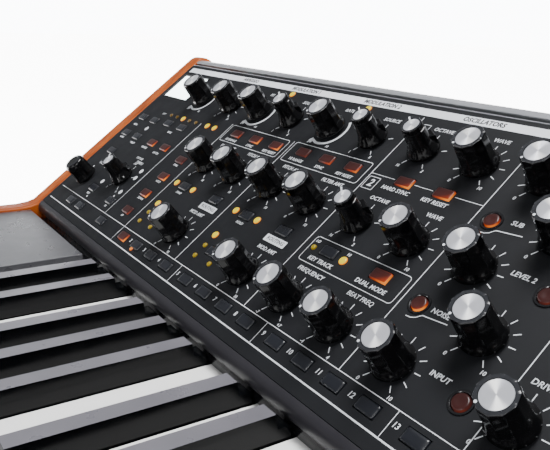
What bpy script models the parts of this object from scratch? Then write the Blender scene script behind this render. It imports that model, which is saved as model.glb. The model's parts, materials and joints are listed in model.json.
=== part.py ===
"""A 37-key analogue keyboard synthesizer with wooden cheeks, built as a bench assembly.

Lengths are millimetres inside the functions and metres in the finished meshes.
+X runs along the keyboard to the right, +Y to the back, +Z up.  The origin is under the middle
of the instrument, on the surface its feet stand on.
"""

import math

import bmesh
import bpy
from mathutils import Matrix, Vector

MM = 0.001
GAP = 0.3                                  # clearance between neighbouring pieces

# Case
WIDTH = 676.0
DEPTH = 370.0
CHEEK = 15.0                               # thickness of a wooden cheek
CHEEK_LEVEL = 64.0                         # top of a cheek beside the keys
INSIDE = WIDTH / 2 - CHEEK - GAP           # half width of everything between the cheeks
SHEET = 1.5                                # folded sheet steel
FOOT_HEIGHT = 5.0
BACK_FACING = math.radians(25.7)           # how far the sloping back faces up
BACK = DEPTH / 2 - 5.0                     # outer face of the rear wall, behind it only the cheeks
FRONT = -DEPTH / 2

# Sloped control panel: its top front edge, slope and length
PANEL_FRONT = (0.0, -12.0, 70.0)
PANEL_TILT = math.radians(38.0)
PANEL_START = -2.7                         # front edge of the sheet, measured up the slope
PANEL_LENGTH = 162.2
PANEL_SHEET = 2.0
BOARD_DEPTH = 14.0                         # top of the panel down to the underside of its board
BOARD_SHEET = 1.6

# Keyboard: 22 naturals and 15 sharps, three octaves and a top C
KEY_PITCH = 23.57
KEYS_LEFT = -203.5
NATURALS = 22
KEY_SPLIT = 0.45                           # half of the gap between two naturals
KEY_FRONT = -172.5
NATURAL_REAR = 8.0
SHARP_REAR = 2.0
KEY_TOP = 52.6
KEY_UNDER = 41.0
SHARP_TOP = 64.6
SHARP_HALF = 5.2
SHARP_FRONT = -122.5
SHARP_HEEL = -23.2
SHARP_SHELF = (58.0, -17.4)                # top and end of the low step behind a sharp
SHARP_CENTRES = {0: 20.96, 1: 49.76, 3: 90.26, 4: 117.86, 5: 145.46}
KEY_PIVOT = (0.0, 0.0, 46.0)
FASCIA = -15.7                             # face that the keys run under

# Knobs: columns run along the panel, rows up its slope
ROW_FRONT, ROW_MIDDLE, ROW_REAR = 30.0, 80.0, 130.0
COLUMN = {
    "a": -256.5, "b": -215.0, "c": -179.0, "d": -143.0, "e": -104.5,
    "f": -68.3, "g": -31.0, "h": 3.8, "i": 39.8, "j": 63.0,
}
KNOBS = [
    # name, kind, distance along the panel, distance up the slope
    ("knob_value", "dome", -297.3, 31.5),
    ("knob_tempo", "pointer", -250.6, 44.5),
    ("knob_glide", "fluted", COLUMN["a"], ROW_REAR),
    ("knob_lfo1_rate", "fluted", COLUMN["b"], ROW_REAR),
    ("knob_lfo1_pitch", "fluted", COLUMN["c"], ROW_REAR),
    ("knob_lfo1_source", "pointer", COLUMN["d"], ROW_REAR),
    ("knob_lfo2_rate", "fluted", COLUMN["e"], ROW_REAR),
    ("knob_lfo2_source", "pointer", COLUMN["f"], ROW_REAR),
    ("knob_osc1_octave", "pointer", COLUMN["g"], ROW_REAR),
    ("knob_osc1_wave", "fluted", COLUMN["h"], ROW_REAR),
    ("knob_mix_osc1", "fluted", COLUMN["i"], ROW_REAR),
    ("knob_mix_sub", "fluted", COLUMN["j"], 105.0),
    ("knob_lfo1_filter", "fluted", -176.0, ROW_MIDDLE),
    ("knob_lfo1_amount", "fluted", COLUMN["d"], ROW_MIDDLE),
    ("knob_lfo2_pitch", "fluted", COLUMN["e"], ROW_MIDDLE),
    ("knob_lfo2_filter", "fluted", COLUMN["f"], ROW_MIDDLE),
    ("knob_osc2_octave", "pointer", COLUMN["g"], ROW_MIDDLE),
    ("knob_osc2_wave", "fluted", COLUMN["h"], ROW_MIDDLE),
    ("knob_mix_osc2", "fluted", COLUMN["i"], ROW_MIDDLE),
    ("knob_mix_noise", "fluted", COLUMN["j"], 55.4),
    ("knob_lfo1_depth", "fluted", COLUMN["d"], ROW_FRONT),
    ("knob_lfo2_depth", "fluted", COLUMN["f"], ROW_FRONT),
    ("knob_osc2_tune", "fluted", COLUMN["g"], ROW_FRONT),
    ("knob_osc2_beat", "fluted", COLUMN["h"], ROW_FRONT),
    ("knob_mix_input", "fluted", COLUMN["i"], ROW_FRONT),
    ("knob_drive", "fluted", 92.0, 32.5),
    ("knob_resonance", "fluted", 136.0, 72.0),
    ("knob_cutoff", "large", 112.0, 118.0),
    ("knob_volume", "large", 299.0, 118.0),
]
KNOB_SIDES = 12
SHAFT_HOLE = 4.0
SHAFT_END = -6.2

# Buttons: key caps moulded in banks, each on a mat under the panel
BUTTON_HOLE = (11.0, 6.4)
BUTTON_CAP = (10.3, 5.7)
ROUND_HOLE = 4.0
ROUND_CAP = 3.55
MAT_TOP = -3.4
MAT_SHEET = 1.0
STEP_ROW = 10.4
STEP_FIRST, STEP_PITCH, STEP_GROUP = -185.3, 20.1, 84.4
STEP_BUTTONS = [(STEP_FIRST + STEP_PITCH * (i % 4) + STEP_GROUP * (i // 4), STEP_ROW)
                for i in range(16)]
BUTTON_BANKS = {
    # name: (mat plates as left, front, right, back), (rectangular caps), (round caps)
    "step_buttons": (
        [(-192.0, 6.5, 135.0, 14.3)],
        STEP_BUTTONS,
        [],
    ),
    "preset_buttons": (
        [(-318.0, 6.5, -200.0, 104.0)],
        [(along, up) for up in (79.5, 98.0) for along in (-310.5, -290.0)]
        + [(-268.0, 99.5), (-246.0, 99.5), (-262.0, 79.3), (-240.5, 79.3), (-303.0, 60.0)]
        + [(-273.0, 27.0), (-237.0, 25.4), (-284.8, STEP_ROW), (-266.0, STEP_ROW)]
        + [(-224.0, STEP_ROW)] + [(-208.5, up) for up in (26.4, 42.6, 58.8, 75.0)],
        [],
    ),
    "modulation_buttons": (
        [(-196.0, 20.0, -52.0, 114.0)],
        [(-157.5 + side, 108.3) for side in (-22.4, 0.0, 22.4)]
        + [(-86.3 + side, 109.4) for side in (-21.9, 0.0, 21.9)]
        + [(-177.2, 58.7), (-138.5, 59.3), (-103.3, 58.7), (-68.6, 59.6)]
        + [(-175.5, 31.0), (-100.6, 31.0)],
        [],
    ),
    "oscillator_buttons": (
        [(-50.0, 20.0, 79.0, 137.0)],
        [(-26.2, 109.4), (-1.2, 109.4), (-31.0, 59.6), (4.0, 59.9)],
        [(30.2, 56.0), (30.2, 103.5), (72.5, 30.0), (72.5, 80.0), (72.5, 130.0)],
    ),
    "envelope_buttons": (
        [(84.0, 19.0, 318.0, 66.0), (150.0, 6.5, 318.0, 19.5)],
        [(172.0 + 30.0 * i, 38.0) for i in range(4)] + [(160.0 + 22.0 * i, STEP_ROW) for i in range(7)]
        + [(136.0, 32.5), (136.0, 48.0), (299.0, 38.0), (299.0, 60.0)],
        [],
    ),
}

# Indicator lights: they stand on the panel board and show through small holes
LIGHT_RADIUS = 1.5
LIGHT_HOLE = 1.8
LIGHT_MAT_HOLE = 2.4
LIGHTS = (
    [(-255.5 + 9.85 * step, 107.1) for step in range(-2, 3)]
    + [(-219.0, 107.3), (-209.0, 107.3), (-166.8, 150.4), (-92.5, 150.4)]
    + [(middle + side, 58.7) for middle in (-177.2, -103.3, -31.0) for side in (-11.0, 11.0)]
    + [(column, up) for column in (-185.5, -111.3) for up in (40.2, 32.2, 24.4)]
    + [(-169.8, 24.4), (-95.4, 24.4)]
    + [(154.0, up) for up in (25.0, 33.0, 41.0)]
)

# Faders of the two envelopes
FADER_COLUMNS = [166.0 + 14.0 * step for step in range(4)] + [226.0 + 14.0 * step for step in range(4)]
FADER_RESTS = [-8.0, 3.0, -2.0, 6.0, -9.0, 5.0, 8.0, -3.0]
FADER_MIDDLE = 93.0
FADER_SLOT = (2.6, 50.0)
FADER_CAP = (8.0, 5.0)

# Display window
DISPLAY_CENTRE = (-297.6, 136.6)
DISPLAY_WINDOW = (40.4, 27.0)

# Left-hand wheels, in the block beside the keys
BLOCK_TOP = 62.0
BLOCK_BACK = -23.2
WHEEL_RADIUS = 24.0
WHEEL_HALF = 5.0
WHEEL_CENTRE = (-105.0, 50.0)
WHEEL_COLUMNS = {"pitch_wheel": -290.0, "modulation_wheel": -240.0}
SLOT_HALF = (6.2, 23.0)

# Rear connectors
CONNECTOR_HEIGHT = 40.0
JACK_BOARD = (-306.0, 20.0)
JACKS = [-290.0 + 26.0 * step for step in range(8)]
DATA_SOCKETS = [-78.0, -44.0]
USB_SOCKET = -6.0
INLET = 110.0
SWITCH = 60.0
SWITCH_TILT = math.radians(7.0)


def clear_scene():
    for item in list(bpy.data.objects):
        bpy.data.objects.remove(item, do_unlink=True)


def material(name, colour, roughness, metallic=0.0, coat=0.0):
    made = bpy.data.materials.new(name)
    made.use_nodes = True
    shader = made.node_tree.nodes["Principled BSDF"]
    shader.inputs["Base Color"].default_value = (*colour, 1.0)
    shader.inputs["Roughness"].default_value = roughness
    shader.inputs["Metallic"].default_value = metallic
    shader.inputs["Coat Weight"].default_value = coat
    made.diffuse_color = (*colour, 1.0)
    return made


# Shapes -------------------------------------------------------------------------------------

def bridge(shell, rings):
    """Closes a stack of equal rings of vertices, capped at both ends."""
    made = [[shell.verts.new(point) for point in ring] for ring in rings]
    count = len(made[0])
    for low, high in zip(made, made[1:]):
        for i in range(count):
            j = (i + 1) % count
            shell.faces.new((low[i], low[j], high[j], high[i]))
    shell.faces.new(list(reversed(made[0])))
    shell.faces.new(made[-1])


def box(shell, low, high):
    corners = [(low[0], low[1]), (high[0], low[1]), (high[0], high[1]), (low[0], high[1])]
    bridge(shell, [[(x, y, z) for x, y in corners] for z in (low[2], high[2])])


def stepped(shell, centre, levels):
    """A stack of rectangles about a vertical line: each level is height, half width, half depth."""
    rings = []
    for height, half_x, half_y in levels:
        rings.append([(centre[0] + sx * half_x, centre[1] + sy * half_y, height)
                      for sx, sy in ((-1, -1), (1, -1), (1, 1), (-1, 1))])
    bridge(shell, rings)


def turned(shell, centre, profile, sides, axis="z"):
    """Turns a profile of (radius, distance along the axis) about an axis through centre."""
    rings = []
    for radius, along in profile:
        ring = []
        for i in range(sides):
            angle = 2 * math.pi * (i + 0.5) / sides
            across, up = radius * math.cos(angle), radius * math.sin(angle)
            point = {
                "z": (centre[0] + across, centre[1] + up, centre[2] + along),
                "x": (centre[0] + along, centre[1] + across, centre[2] + up),
                "-y": (centre[0] + across, centre[1] - along, centre[2] + up),
            }[axis]
            ring.append(point)
        rings.append(ring)
    bridge(shell, rings)


def along_x(shell, outline, left, right):
    """Pushes an outline of (y, z) points, seen from the right and running anticlockwise."""
    bridge(shell, [[(x, y, z) for y, z in outline] for x in (left, right)])


def arc(centre, radius, start, end, steps):
    """Points along an arc; the angles are in degrees."""
    points = []
    for i in range(steps + 1):
        angle = math.radians(start + (end - start) * i / steps)
        points.append((centre[0] + radius * math.cos(angle), centre[1] + radius * math.sin(angle)))
    return points


def place(name, shell, finish, location=(0, 0, 0), rotation=(0, 0, 0), parent=None):
    """Turns a shell drawn in millimetres into a scene object in metres."""
    bmesh.ops.recalc_face_normals(shell, faces=shell.faces)
    bmesh.ops.scale(shell, vec=(MM, MM, MM), verts=shell.verts)
    mesh = bpy.data.meshes.new(name)
    shell.to_mesh(mesh)
    shell.free()
    mesh.set_sharp_from_angle(angle=math.radians(35))
    made = bpy.data.objects.new(name, mesh)
    made.data.materials.append(finish)
    made.location = Vector(location) * MM
    made.rotation_euler = rotation
    made.parent = parent
    bpy.context.scene.collection.objects.link(made)
    return made


def combine(target, shell, operation, parent=None):
    """Takes the bodies in a shell out of the target, or joins them to it."""
    tool = place(f"{target.name}_{operation.lower()}", shell, target.data.materials[0], parent=parent)
    tool.hide_render = True
    tool.display_type = "WIRE"
    modifier = target.modifiers.new(operation.lower(), "BOOLEAN")
    modifier.operation = operation
    modifier.solver = "EXACT"
    modifier.object = tool


def cut(target, shell, parent=None):
    combine(target, shell, "DIFFERENCE", parent)


def join(target, shell, parent=None):
    combine(target, shell, "UNION", parent)


# Case ---------------------------------------------------------------------------------------

def on_slope(up, out=0.0):
    """The (y, z) of a place in the panel's frame, given up the slope and out of the panel."""
    cos, sin = math.cos(PANEL_TILT), math.sin(PANEL_TILT)
    return (PANEL_FRONT[1] + up * cos - out * sin, PANEL_FRONT[2] + up * sin + out * cos)


def down_back(crest, radius, y):
    """Height at which the sloping back, tangent to a crest, reaches the given y."""
    cos, sin = math.cos(BACK_FACING), math.sin(BACK_FACING)
    return crest[1] + (radius - (y - crest[0]) * cos) / sin


def cheek_outline():
    """Side view of a cheek: level beside the keys, up the slope to a crest, and down the back."""
    rise, radius = 0.4, 10.5
    crest = on_slope(167.0, rise - radius)
    half = DEPTH / 2
    facing = math.degrees(BACK_FACING)
    outline = [(FRONT + 5, FOOT_HEIGHT), (half - 3, FOOT_HEIGHT), (half, FOOT_HEIGHT + 3)]
    outline += [(half, down_back(crest, radius, half))]
    outline += arc(crest, radius, facing, 90 + math.degrees(PANEL_TILT), 8)
    edge = on_slope(0, rise)
    outline += [on_slope(-6, rise), (edge[0] - 10, CHEEK_LEVEL + 1), (edge[0] - 18, CHEEK_LEVEL)]
    outline += arc((FRONT + 10, CHEEK_LEVEL - 10), 10, 90, 180, 4)
    outline += [(FRONT, FOOT_HEIGHT + 5)]
    return outline


def build_cheeks(wood):
    for name, side in (("left_cheek", -1), ("right_cheek", 1)):
        inner, outer = side * (INSIDE + GAP), side * WIDTH / 2
        shell = bmesh.new()
        along_x(shell, cheek_outline(), min(inner, outer), max(inner, outer))
        place(name, shell, wood)


def build_base_pan(steel):
    low, high = FOOT_HEIGHT, FOOT_HEIGHT + SHEET
    front, back = FRONT + GAP, BACK - 2.0 - GAP
    outline = [(front, low), (back, low), (back, 24), (back - SHEET, 24), (back - SHEET, high),
               (front + SHEET, high), (front + SHEET, 38.5), (front + 10, 38.5), (front + 10, 40),
               (front, 40)]
    shell = bmesh.new()
    along_x(shell, outline, -INSIDE, INSIDE)
    place("base_pan", shell, steel)


def build_rear_shell(paint):
    """The folded sheet that closes the back: a flange, the crest, the sloping back and a wall."""
    start, radius, wall = PANEL_LENGTH + 2.4, 9.0, 2.0
    crest = on_slope(start, -radius)
    bottom = FOOT_HEIGHT + SHEET + 2
    facing = math.degrees(BACK_FACING)
    outline = [on_slope(start, -12), on_slope(start + wall, -12)]
    outline += arc(crest, radius - wall, 110, facing, 6)
    outline += [(BACK - wall, down_back(crest, radius - wall, BACK - wall)), (BACK - wall, bottom)]
    outline += [(BACK, bottom), (BACK, down_back(crest, radius, BACK))]
    outline += arc(crest, radius, facing, 90 + math.degrees(PANEL_TILT), 8)
    shell = bmesh.new()
    along_x(shell, outline, -INSIDE, INSIDE)
    rear = place("rear_shell", shell, paint)
    holes = bmesh.new()
    through = [-BACK - 3, -BACK + 5]
    for x in JACKS:
        turned(holes, (x, 0, CONNECTOR_HEIGHT), [(5.0, d) for d in through], 10, "-y")
    for x in DATA_SOCKETS:
        turned(holes, (x, 0, CONNECTOR_HEIGHT), [(8.4, d) for d in through], 12, "-y")
    for x, half_x, half_z in ((USB_SOCKET, 6.6, 5.9), (INLET, 24.0, 14.0), (SWITCH, 7.0, 10.0)):
        box(holes, (x - half_x, BACK - 5, CONNECTOR_HEIGHT - half_z),
            (x + half_x, BACK + 3, CONNECTOR_HEIGHT + half_z))
    cut(rear, holes)


def build_front_lip(paint):
    """The rounded rail from the panel's front edge down to the fascia over the keys."""
    radius = 7.0
    start = PANEL_START - GAP
    outline = [on_slope(start)]
    outline += arc(on_slope(start - 0.6, -radius), radius, 90 + math.degrees(PANEL_TILT), 200, 6)
    outline += [(FASCIA, 59.4), (FASCIA, KEY_TOP + 0.8), (-4.0, KEY_TOP + 0.8), (-4.0, 60.0)]
    outline += [on_slope(start, -2.4)]
    shell = bmesh.new()
    along_x(shell, outline, -INSIDE, INSIDE)
    place("front_lip", shell, paint)


def block_outline(low, wall=0.0):
    """Side view of the block at an end of the keys, drawn inwards by the wall."""
    front, back, tail = FRONT + 12 + wall, BLOCK_BACK - wall, -5.5 - wall
    top, step = BLOCK_TOP - wall, KEY_TOP - wall
    return [(front, low), (tail, low), (tail, step), (back, step), (back, top), (front, top)]


def build_wheel_block(plastic):
    """The hollow block left of the keys that houses the two wheels, open underneath."""
    left, right = -INSIDE, KEYS_LEFT - 0.8
    low = FOOT_HEIGHT + SHEET + 0.5
    shell = bmesh.new()
    along_x(shell, block_outline(low), left, right)
    block = place("wheel_block", shell, plastic)
    hollow = bmesh.new()
    along_x(hollow, block_outline(low - 2, 2.5), left + 2.5, right - 2.5)
    cut(block, hollow)
    slots = bmesh.new()
    for x in WHEEL_COLUMNS.values():
        box(slots, (x - SLOT_HALF[0], WHEEL_CENTRE[0] - SLOT_HALF[1], BLOCK_TOP - 4),
            (x + SLOT_HALF[0], WHEEL_CENTRE[0] + SLOT_HALF[1], BLOCK_TOP + 1))
    cut(block, slots)


def build_feet(rubber):
    """Two rubber strips across the base, each with a chamfered lower edge."""
    for name, y in (("front_foot_strip", -150.0), ("rear_foot_strip", 140.0)):
        shell = bmesh.new()
        stepped(shell, (0, y), [(0, 300, 7), (1.5, 302, 9), (FOOT_HEIGHT - GAP, 302, 9)])
        place(name, shell, rubber)


# Control panel ------------------------------------------------------------------------------

def make_panel_frame():
    """An empty on the panel's front edge: its X runs along, Y up the slope, Z out of the panel."""
    frame = bpy.data.objects.new("panel_frame", None)
    frame.location = Vector(PANEL_FRONT) * MM
    frame.rotation_euler = (PANEL_TILT, 0, 0)
    bpy.context.scene.collection.objects.link(frame)
    return frame


def build_control_panel(paint, frame):
    shell = bmesh.new()
    box(shell, (-INSIDE, PANEL_START, -PANEL_SHEET), (INSIDE, PANEL_LENGTH, 0))
    panel = place("control_panel", shell, paint, parent=frame)
    holes = bmesh.new()
    low, high = -PANEL_SHEET - 1, 1
    for _, _, x, y in KNOBS:
        turned(holes, (x, y, 0), [(SHAFT_HOLE, low), (SHAFT_HOLE, high)], 8)
    for _, _, rounds in BUTTON_BANKS.values():
        for x, y in rounds:
            turned(holes, (x, y, 0), [(ROUND_HOLE, low), (ROUND_HOLE, high)], 12)
    for x, y in LIGHTS:
        turned(holes, (x, y, 0), [(LIGHT_HOLE, low), (LIGHT_HOLE, high)], 6)
    windows = [(x, y, *BUTTON_HOLE) for _, caps, _ in BUTTON_BANKS.values() for x, y in caps]
    windows += [(x, FADER_MIDDLE, *FADER_SLOT) for x in FADER_COLUMNS]
    windows += [(*DISPLAY_CENTRE, *DISPLAY_WINDOW)]
    for x, y, wide, deep in windows:
        stepped(holes, (x, y), [(low, wide / 2, deep / 2), (high, wide / 2, deep / 2)])
    cut(panel, holes, frame)


def knob_profile(kind):
    """Radius and height of a knob from the end of its shaft to the middle of its top."""
    shaft = [(3.0, SHAFT_END), (3.0, 0.8)]
    if kind == "fluted":
        return shaft + [(9.4, 0.8), (9.4, 2.2), (8.0, 6.5), (7.3, 17.2), (6.3, 18.0)]
    if kind == "large":
        return shaft + [(15.0, 0.8), (15.0, 3.0), (13.0, 7.5), (12.2, 19.2), (10.6, 20.0)]
    if kind == "pointer":
        return shaft + [(8.6, 0.8), (8.6, 2.0), (6.4, 6.5), (5.6, 17.4), (4.9, 18.0)]
    return shaft + [(8.6, 0.8), (8.6, 2.0), (7.7, 4.0), (7.7, 15.5), (6.6, 17.4), (4.0, 18.2)]


def build_knobs(bakelite, frame):
    for name, kind, x, y in KNOBS:
        shell = bmesh.new()
        turned(shell, (0, 0, 0), knob_profile(kind), KNOB_SIDES)
        place(name, shell, bakelite, (x, y, 0), parent=frame)


def inside(plates, x, y, margin):
    return any(left - margin < x < right + margin and front - margin < y < back + margin
               for left, front, right, back in plates)


def build_button_bank(name, plastic, frame):
    """Key caps moulded on a mat under the panel; the mat is open round shafts and lights."""
    plates, rectangles, rounds = BUTTON_BANKS[name]
    half_x, half_y = BUTTON_CAP[0] / 2, BUTTON_CAP[1] / 2
    low, high = MAT_TOP - MAT_SHEET, MAT_TOP
    root = high - 0.5 * MAT_SHEET
    shell = bmesh.new()
    left, front, right, back = plates[0]
    box(shell, (left, front, low), (right, back, high))
    bank = place(name, shell, plastic, parent=frame)
    for left, front, right, back in plates[1:]:
        plate = bmesh.new()
        box(plate, (left, front, low), (right, back, high))
        join(bank, plate, frame)
    caps = bmesh.new()
    for x, y in rectangles:
        stepped(caps, (x, y), [(root, half_x, half_y), (0.6, half_x, half_y),
                               (1.0, half_x - 0.5, half_y - 0.5)])
    for x, y in rounds:
        turned(caps, (x, y, 0), [(ROUND_CAP, root), (ROUND_CAP, 0.8), (ROUND_CAP - 0.7, 1.2)], 12)
    join(bank, caps, frame)
    holes = bmesh.new()
    for _, _, x, y in KNOBS:
        if inside(plates, x, y, SHAFT_HOLE):
            turned(holes, (x, y, 0), [(SHAFT_HOLE, low - 1), (SHAFT_HOLE, high + 1)], 8)
    for x, y in LIGHTS:
        if inside(plates, x, y, LIGHT_MAT_HOLE):
            turned(holes, (x, y, 0), [(LIGHT_MAT_HOLE, low - 1), (LIGHT_MAT_HOLE, high + 1)], 6)
    if holes.verts:
        cut(bank, holes, frame)


def build_faders(plastic, frame):
    """Fader caps whose stems pass the slots down to a common carrier."""
    half_x, half_y = FADER_CAP[0] / 2, FADER_CAP[1] / 2
    low, high = -5.4, -4.4
    shell = bmesh.new()
    box(shell, (FADER_COLUMNS[0] - 2, FADER_MIDDLE - 12, low),
        (FADER_COLUMNS[-1] + 2, FADER_MIDDLE + 11, high))
    faders = place("envelope_faders", shell, plastic, parent=frame)
    caps = bmesh.new()
    for x, rest in zip(FADER_COLUMNS, FADER_RESTS):
        stepped(caps, (x, FADER_MIDDLE + rest),
                [(low + 0.4, 0.7, 2.0), (1.2, 0.7, 2.0), (1.2, half_x, half_y), (3.0, half_x, half_y),
                 (6.0, half_x - 0.8, half_y - 1.2), (8.5, half_x - 0.6, half_y - 0.6)])
    join(faders, caps, frame)


def build_panel_board(laminate, frame):
    """The circuit board under the panel, with its potentiometers and lights."""
    low = -BOARD_DEPTH
    high = low + BOARD_SHEET
    root = high - 0.5
    shell = bmesh.new()
    box(shell, (-318, 5, low), (318, 154, high))
    board = place("panel_board", shell, laminate, parent=frame)
    parts = bmesh.new()
    for _, _, x, y in KNOBS:
        box(parts, (x - 5, y - 5.5, root), (x + 5, y + 5.5, SHAFT_END - GAP))
    for x in FADER_COLUMNS:
        box(parts, (x - 3.5, FADER_MIDDLE - 30, root), (x + 3.5, FADER_MIDDLE + 30, -5.8))
    for x, y in LIGHTS:
        turned(parts, (x, y, 0), [(LIGHT_RADIUS, root), (LIGHT_RADIUS, -0.2), (1.0, 0.4)], 6)
    join(board, parts, frame)
    gap = bmesh.new()
    box(gap, (DISPLAY_CENTRE[0] - 26, DISPLAY_CENTRE[1] - 20, low - 1),
        (DISPLAY_CENTRE[0] + 25, 160, high + 2))
    cut(board, gap, frame)


def build_display(glass, frame):
    half_x, half_y = DISPLAY_WINDOW[0] / 2 - GAP, DISPLAY_WINDOW[1] / 2 - GAP
    shell = bmesh.new()
    stepped(shell, DISPLAY_CENTRE, [(-11.0, half_x + 3, half_y + 4), (-5.0, half_x + 3, half_y + 4),
                                    (-5.0, half_x, half_y), (-0.3, half_x, half_y)])
    place("display", shell, glass, parent=frame)


# Keyboard -----------------------------------------------------------------------------------

def natural_outline(index):
    """Plan of one natural key, anticlockwise from its front left corner."""
    degree = index % 7
    octave = KEYS_LEFT + (index // 7) * 7 * KEY_PITCH
    left = KEYS_LEFT + index * KEY_PITCH + KEY_SPLIT
    right = left + KEY_PITCH - 2 * KEY_SPLIT
    notch = SHARP_HALF + 0.8
    shoulder = SHARP_FRONT - 1.0
    last = index == NATURALS - 1
    above = octave + SHARP_CENTRES[degree] if degree in SHARP_CENTRES and not last else None
    below = octave + SHARP_CENTRES[degree - 1] if degree - 1 in SHARP_CENTRES else None
    outline = [(left, KEY_FRONT), (right, KEY_FRONT), (right, KEY_FRONT + 4)]
    if above is not None:
        outline += [(right, shoulder), (above - notch, shoulder), (above - notch, NATURAL_REAR)]
    else:
        outline += [(right, NATURAL_REAR)]
    if below is not None:
        outline += [(below + notch, NATURAL_REAR), (below + notch, shoulder), (left, shoulder)]
    else:
        outline += [(left, NATURAL_REAR)]
    return outline + [(left, KEY_FRONT + 4)]


def add_natural(shell, index):
    """A key plate with a deeper front lip under its first four points."""
    outline = natural_outline(index)
    top = [shell.verts.new((x, y, KEY_TOP)) for x, y in outline]
    under = [shell.verts.new((x, y, KEY_UNDER)) for x, y in outline]
    count = len(outline)
    shell.faces.new(top)
    for i in range(count):
        j = (i + 1) % count
        shell.faces.new((under[i], under[j], top[j], top[i]))
    shell.faces.new(list(reversed(under[2:])))
    rim = [under[0], under[1], under[2], under[-1]]
    lip = [shell.verts.new((v.co.x, v.co.y, KEY_UNDER - 8)) for v in rim]
    for i in range(4):
        j = (i + 1) % 4
        shell.faces.new((lip[i], lip[j], rim[j], rim[i]))
    shell.faces.new(list(reversed(lip)))


def add_sharp(shell, centre):
    """A sharp: its sloping front and crown, a low step behind, and a tail back to the pivot.

    Each station is y, the height there, and half the width at that height.
    """
    half, deck = SHARP_HALF, 50.0
    shelf, shelf_end = SHARP_SHELF
    stations = [(SHARP_FRONT, deck, half), (SHARP_FRONT + 5.0, SHARP_TOP, half - 0.7),
                (SHARP_HEEL - 1.0, SHARP_TOP, half - 0.7), (SHARP_HEEL, shelf, half - 0.4),
                (shelf_end, shelf, half - 0.4), (shelf_end + 0.8, deck, half),
                (SHARP_REAR, deck, half)]
    rings = []
    for y, z, top_half in stations:
        rings.append([(centre - half, y, KEY_UNDER), (centre + half, y, KEY_UNDER),
                      (centre + half, y, deck - 0.1), (centre + top_half, y, z),
                      (centre - top_half, y, z), (centre - half, y, deck - 0.1)])
    bridge(shell, rings)


def on_pivot(shell):
    bmesh.ops.translate(shell, vec=-Vector(KEY_PIVOT), verts=shell.verts)


def build_keys(ivory, ebony):
    """Combs of keys, one of naturals and one of sharps to each octave.

    A bar joins the keys of a comb at the pivot line: behind the naturals, and below the sharps.
    """
    for octave, label in enumerate(("low", "middle", "high")):
        first = octave * 7
        last = first + 7 if octave < 2 else NATURALS
        left = KEYS_LEFT + first * KEY_PITCH
        bar = bmesh.new()
        box(bar, (left + 2, NATURAL_REAR - 4, KEY_UNDER + 1),
            (KEYS_LEFT + last * KEY_PITCH - 2, NATURAL_REAR - 1, KEY_TOP - 3))
        on_pivot(bar)
        naturals = place(label + "_naturals", bar, ivory, KEY_PIVOT)
        keys = bmesh.new()
        for index in range(first, last):
            add_natural(keys, index)
        join(naturals, keys)

        bar = bmesh.new()
        centres = [left + offset for offset in SHARP_CENTRES.values()]
        box(bar, (centres[0] - 4, SHARP_REAR - 5, KEY_UNDER - 6),
            (centres[-1] + 4, SHARP_REAR - 1, KEY_UNDER - 0.7))
        on_pivot(bar)
        sharps = place(label + "_sharps", bar, ebony, KEY_PIVOT)
        keys = bmesh.new()
        for centre in centres:
            add_sharp(keys, centre)
        join(sharps, keys)
        webs = bmesh.new()
        for centre in centres:
            box(webs, (centre - 2, SHARP_REAR - 4, KEY_UNDER - 3),
                (centre + 2, SHARP_REAR - 2, KEY_UNDER + 3))
        join(sharps, webs)


def build_keybed_frame(steel):
    """Folded frame under the keys, with the pivot ridge at the back and a filler at the right."""
    low = FOOT_HEIGHT + SHEET + 0.5
    ridge = KEY_UNDER - 6.5
    outline = [(-168, low), (6, low), (6, low + 2), (1.5, low + 2), (1.5, ridge), (-3.5, ridge),
               (-3.5, low + 2), (-166, low + 2), (-166, 17), (-150, 17), (-150, 19), (-168, 19)]
    right = KEYS_LEFT + NATURALS * KEY_PITCH
    shell = bmesh.new()
    along_x(shell, outline, KEYS_LEFT, right + 3)
    frame = place("keybed_frame", shell, steel)
    filler = bmesh.new()
    along_x(filler, block_outline(low + 1), right + 0.8, INSIDE)
    join(frame, filler)


def build_wheels(rubber):
    for name, x in WHEEL_COLUMNS.items():
        shell = bmesh.new()
        profile = [(3.0, -10), (3.0, -WHEEL_HALF), (WHEEL_RADIUS - 1, -WHEEL_HALF),
                   (WHEEL_RADIUS, -WHEEL_HALF + 1), (WHEEL_RADIUS, WHEEL_HALF - 1),
                   (WHEEL_RADIUS - 1, WHEEL_HALF), (3.0, WHEEL_HALF), (3.0, 10)]
        turned(shell, (0, 0, 0), profile, 24, "x")
        place(name, shell, rubber, (x, *WHEEL_CENTRE))


# Rear connectors and the electronics inside ---------------------------------------------------

def build_jack_board(nickel):
    """The upright board behind the rear wall with eight jacks, two data sockets and a square one."""
    face = -(BACK + GAP)
    back = BACK - 22
    root = -(back + 0.8)
    shell = bmesh.new()
    box(shell, (JACK_BOARD[0], back, 20), (JACK_BOARD[1], back + BOARD_SHEET, 60))
    board = place("jack_board", shell, nickel)
    sockets = bmesh.new()
    for x in JACKS:
        turned(sockets, (x, 0, CONNECTOR_HEIGHT),
               [(7.5, root), (7.5, face + 2.6), (4.6, face + 2.6), (4.6, face), (6.5, face),
                (6.5, face - 2), (3.3, face - 2), (3.3, face + 17)], 10, "-y")
    for x in DATA_SOCKETS:
        turned(sockets, (x, 0, CONNECTOR_HEIGHT),
               [(8.0, root), (8.0, face), (9.6, face), (9.6, face - 1.6), (6.9, face - 1.6),
                (6.9, face + 7)], 12, "-y")
    add_frame(sockets, USB_SOCKET, [(root, 6.2, 5.5), (face, 6.2, 5.5), (face, 7.8, 7.1),
                                    (face - 1.6, 7.8, 7.1), (face - 1.6, 4.4, 4.0), (face + 10, 4.4, 4.0)])
    join(board, sockets)


def add_frame(shell, x, levels):
    """A stack of rectangles in the rear wall; a level is minus its y, half width, half height."""
    part = bmesh.new()
    stepped(part, (0, 0), levels)
    stand_in_wall(part, x)
    append_shell(shell, part)


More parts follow.
